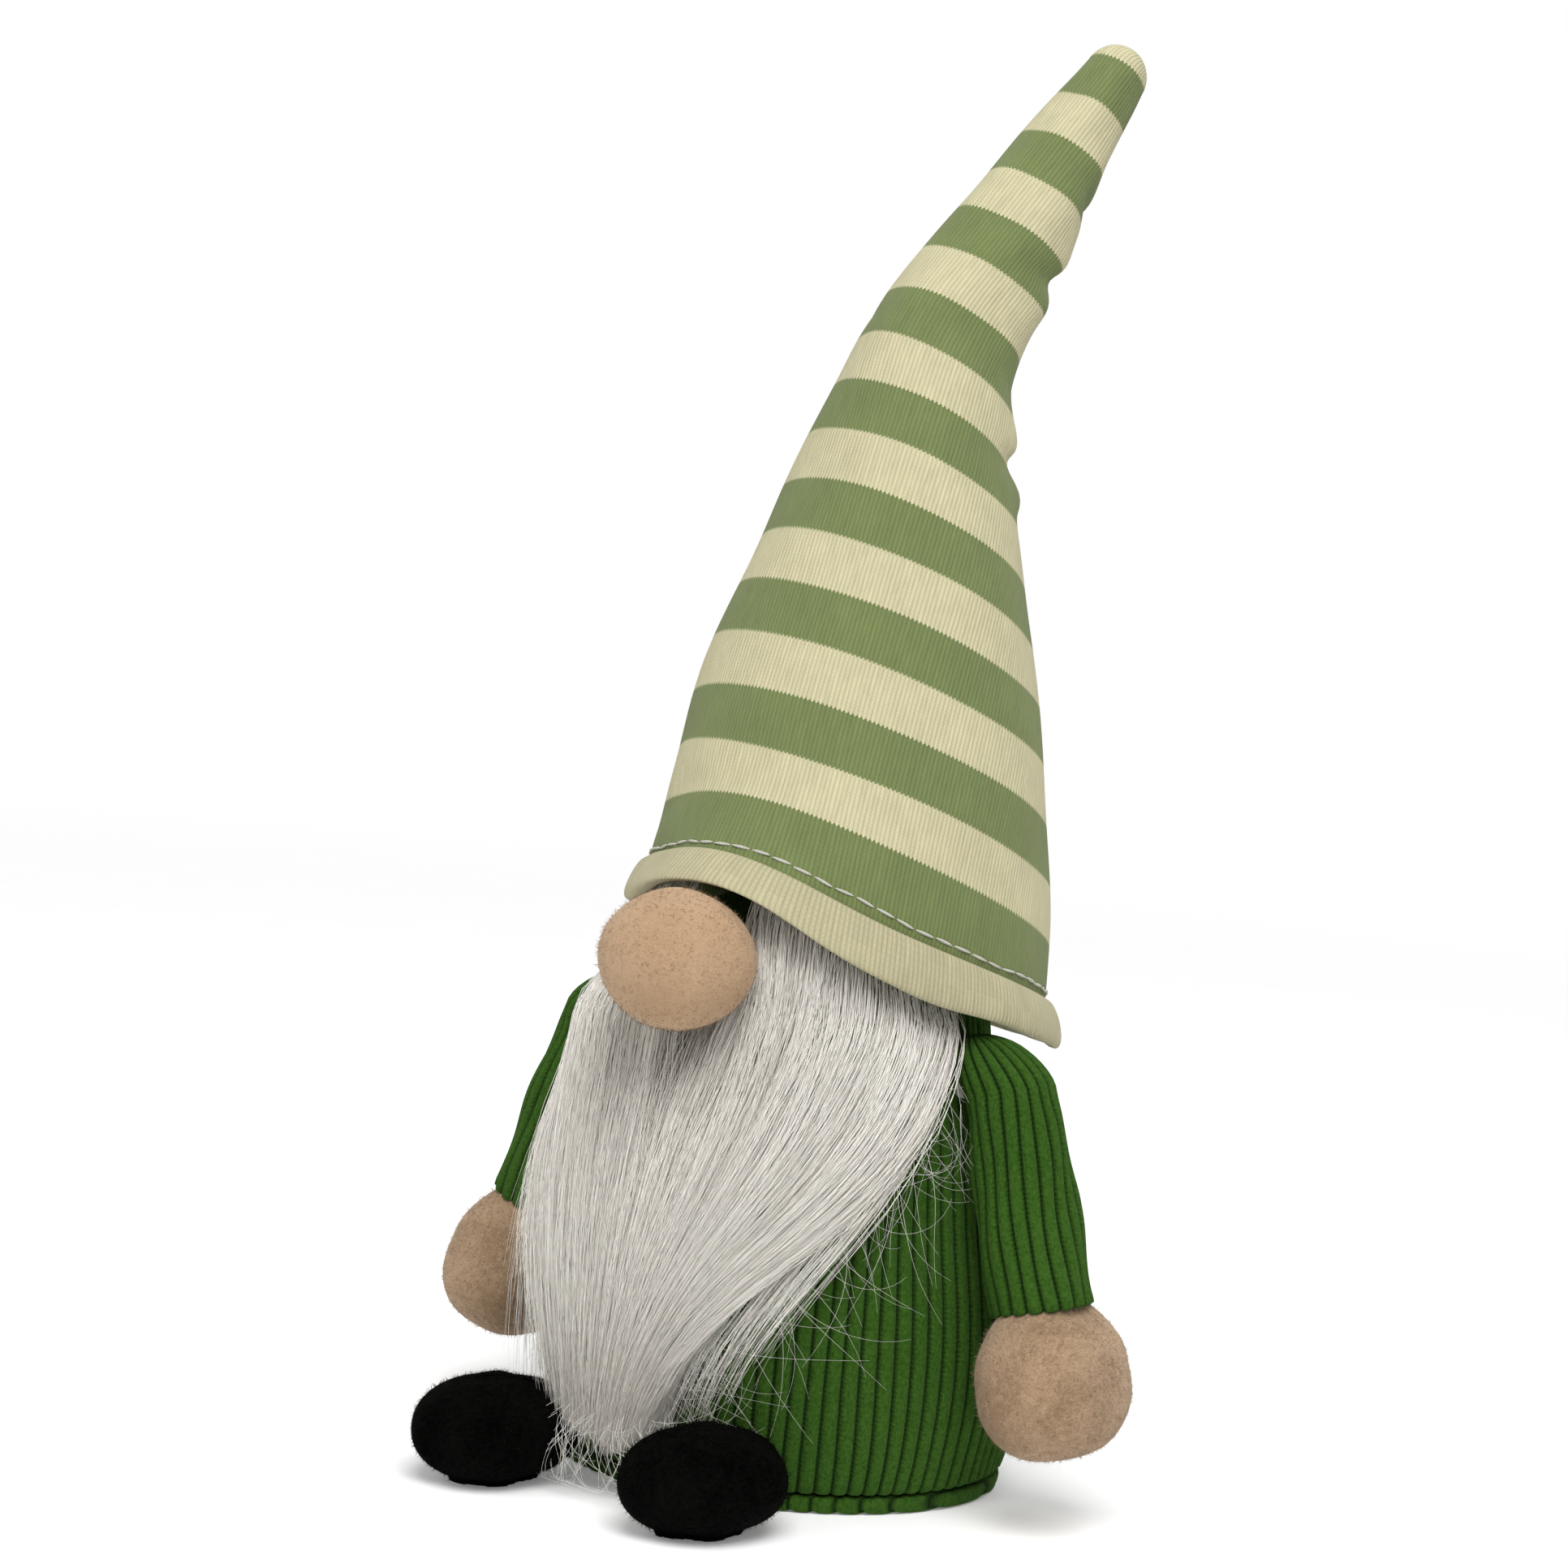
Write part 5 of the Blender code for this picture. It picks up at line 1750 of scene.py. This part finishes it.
    def build(self) -> None:
        """Builds and dresses the ground, the coat, the locks and the loose hairs."""
        ground = dress(self.build_ground(), FUR_BACKING)
        coat = dress(self.build_coat(), WHITE_FUR)
        strands = []
        for i in range(self.locks):
            rng = np.random.default_rng(self.lock_seed + i)
            points, thick, tone = self.paths(rng, self.strands_per_lock)
            piece = line_piece(f"beard_locks_{i + 1}", points, {"radius": thick, "tone": tone})
            self.strands_recipe.run(piece, WHITE_FUR, width=self.strand_width)
            strands.append(dress(piece, WHITE_FUR))
        points, thick, tone = self.flyaways(np.random.default_rng(self.loose_seed), self.loose_hairs)
        loose = line_piece("beard_loose_hairs", points, {"radius": thick, "tone": tone})
        self.strands_recipe.run(loose, WHITE_FUR, width=self.loose_width)
        strands.append(dress(loose, WHITE_FUR))
        width = 2.0 * self.left_reach[1] * self.ground_share * (self.form.head_radius + self.standoff)
        width, length = width + self.sheet_turning, self.sheet_length
        self.swing(ground)
        self.swing(coat)
        for piece in strands:
            self.swing(piece)
        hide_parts("beard_band", "beard_backing")
        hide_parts("beard_band_pile", "beard_pile")
        for piece in (ground, coat, *strands):
            report(piece)


@dataclass
class Fillings:
    """The frame's own parts that stay: the fillings, the board and the thread tacks."""

    finishes: Mapping[str, Finish] = field(default_factory=lambda: {
        "base_stiffener": BOARD,
        "pellet_bag": BAG_CLOTH,
        "body_stuffing": WADDING,
        "nose_stuffing": WADDING,
        "hat_stuffing_lower": WADDING,
        "hat_stuffing_upper": WADDING,
        "left_arm_stuffing": WADDING,
        "right_arm_stuffing": WADDING,
        "left_foot_stuffing": WADDING,
        "right_foot_stuffing": WADDING,
        "left_shoulder_tack": PALE_THREAD,
        "right_shoulder_tack": PALE_THREAD,
    })

    def dress(self) -> None:
        """Gives each kept part its finish."""
        for name, finish in self.finishes.items():
            node = frame["nodes"][name]
            for slot in node.material_slots:
                slot.material = finish.material()
            log.info("%s: %s", name, finish.name)


@dataclass(frozen=True)
class Lamp:
    """One soft square light: its angles round and above the gnome in degrees, and its sizes."""

    name: str
    azimuth: float
    elevation: float
    distance: float
    size: float
    power: float


@dataclass
class Studio:
    """The pale floor, the soft lights and the camera."""

    azimuth: float = math.radians(33.0)
    elevation: float = math.radians(5.5)
    roll: float = math.radians(5.6)
    distance: float = 1.030
    lens: float = 117.2
    target: tuple[float, float, float] = (-9.7 * MM, -6.3 * MM, 138.0 * MM)
    floor_radius: float = 1.6
    fade_from: float = 0.25
    fade_to: float = 1.1
    sensor: float = 36.0
    world_light: float = 0.42
    world_seen: float = 1.0
    lamps: tuple[Lamp, ...] = (
        Lamp("key_light", 38.0, 52.0, 1.3, 0.9, 17.0),
        Lamp("fill_light", -40.0, 30.0, 1.5, 1.0, 5.0),
        Lamp("top_light", 170.0, 60.0, 1.4, 0.9, 6.0),
    )

    def build_floor(self) -> None:
        """A pale round floor that fades into the white around it."""
        bm = bmesh.new()
        bmesh.ops.create_circle(bm, cap_ends=True, segments=96, radius=self.floor_radius)
        mesh = bpy.data.meshes.new("studio_floor")
        bm.to_mesh(mesh)
        bm.free()
        floor = add_piece("studio_floor", mesh)
        material = bpy.data.materials.new("pale_floor")
        material.use_nodes = True
        material.node_tree.nodes.clear()
        bench = Bench(material.node_tree)
        place = bench.place()
        reach = bench.node("ShaderNodeVectorMath", {0: place}, operation="LENGTH").outputs["Value"]
        grain = bench.noise(place, 40.0, 2.0)
        colour = bench.tint(bench.remap(grain, 0.3, 0.7), (0.90, 0.90, 0.90), (0.93, 0.93, 0.93))
        paper = bench.node("ShaderNodeBsdfPrincipled", {
            "Base Color": colour, "Roughness": 0.9, "Specular IOR Level": 0.1,
            "Emission Color": (1.0, 1.0, 1.0, 1.0), "Emission Strength": 0.15,
        })
        clear = bench.node("ShaderNodeBsdfTransparent")
        fade = bench.remap(reach, self.fade_from, self.fade_to)
        shown = bench.node("ShaderNodeMixShader", {0: fade, 1: paper.outputs[0], 2: clear.outputs[0]})
        bench.node("ShaderNodeOutputMaterial", {0: shown.outputs[0]})
        mesh.materials.append(material)

    @staticmethod
    def ray(turn: float, rise: float) -> Vector:
        """The direction from the gnome at an angle round it and an angle above the floor."""
        return Vector((math.sin(turn) * math.cos(rise), -math.cos(turn) * math.cos(rise), math.sin(rise)))

    def build_light(self, lamp: Lamp) -> None:
        """One soft square light aimed at the gnome.

        Args:
            lamp: The light's angles and sizes.
        """
        light = bpy.data.lights.new(lamp.name, "AREA")
        light.size = lamp.size
        light.energy = lamp.power
        stand = bpy.data.objects.new(lamp.name, light)
        bpy.context.scene.collection.objects.link(stand)
        ray = self.ray(math.radians(lamp.azimuth), math.radians(lamp.elevation))
        stand.location = Vector(self.target) + ray * lamp.distance
        stand.rotation_euler = ray.to_track_quat("Z", "Y").to_euler()

    def build_world(self) -> None:
        """White surroundings with an even, softer light."""
        world = bpy.data.worlds.new("studio_white")
        bpy.context.scene.world = world
        world.use_nodes = True
        world.node_tree.nodes.clear()
        bench = Bench(world.node_tree)
        seen = bench.node("ShaderNodeLightPath").outputs["Is Camera Ray"]
        strength = bench.blend(seen, self.world_light, self.world_seen)
        sky = bench.node("ShaderNodeBackground", {"Color": (1.0, 1.0, 1.0, 1.0), "Strength": strength})
        bench.node("ShaderNodeOutputWorld", {0: sky.outputs[0]})

    def build_camera(self) -> None:
        """The camera, a little above the gnome's middle and to its left, tipped so that the gnome leans."""
        turn, roll = self.azimuth, self.roll
        ray = self.ray(turn, self.elevation)
        level = Vector((math.cos(turn), math.sin(turn), 0.0))
        high = level.cross(-ray)
        right = level * math.cos(roll) + high * math.sin(roll)
        up = high * math.cos(roll) - level * math.sin(roll)
        data = bpy.data.cameras.new("studio_camera")
        data.sensor_width = self.sensor
        data.lens = self.lens
        camera = bpy.data.objects.new("studio_camera", data)
        bpy.context.scene.collection.objects.link(camera)
        place = Vector(self.target) + ray * self.distance
        camera.matrix_world = Matrix.Translation(place) @ Matrix((right, up, ray)).transposed().to_4x4()
        bpy.context.scene.camera = camera

    def build(self) -> None:
        """Sets the whole studio."""
        bpy.context.scene.view_settings.view_transform = "Standard"
        self.build_floor()
        for lamp in self.lamps:
            self.build_light(lamp)
        self.build_world()
        self.build_camera()


def main() -> None:
    """Builds the gnome piece by piece."""
    logging.basicConfig(level=logging.INFO, format="%(message)s")
    ribs, fuzz = RibRecipe(), FuzzRecipe()
    Studio().build()
    Hat().build()
    Body(ribs).build()
    Nose(fuzz).build()
    for side in Side:
        Arm(side, ribs, fuzz).build()
        Foot(side, fuzz).build()
    Beard(StrandRecipe()).build()
    Fillings().dress()


if __name__ == "__main__":
    main()
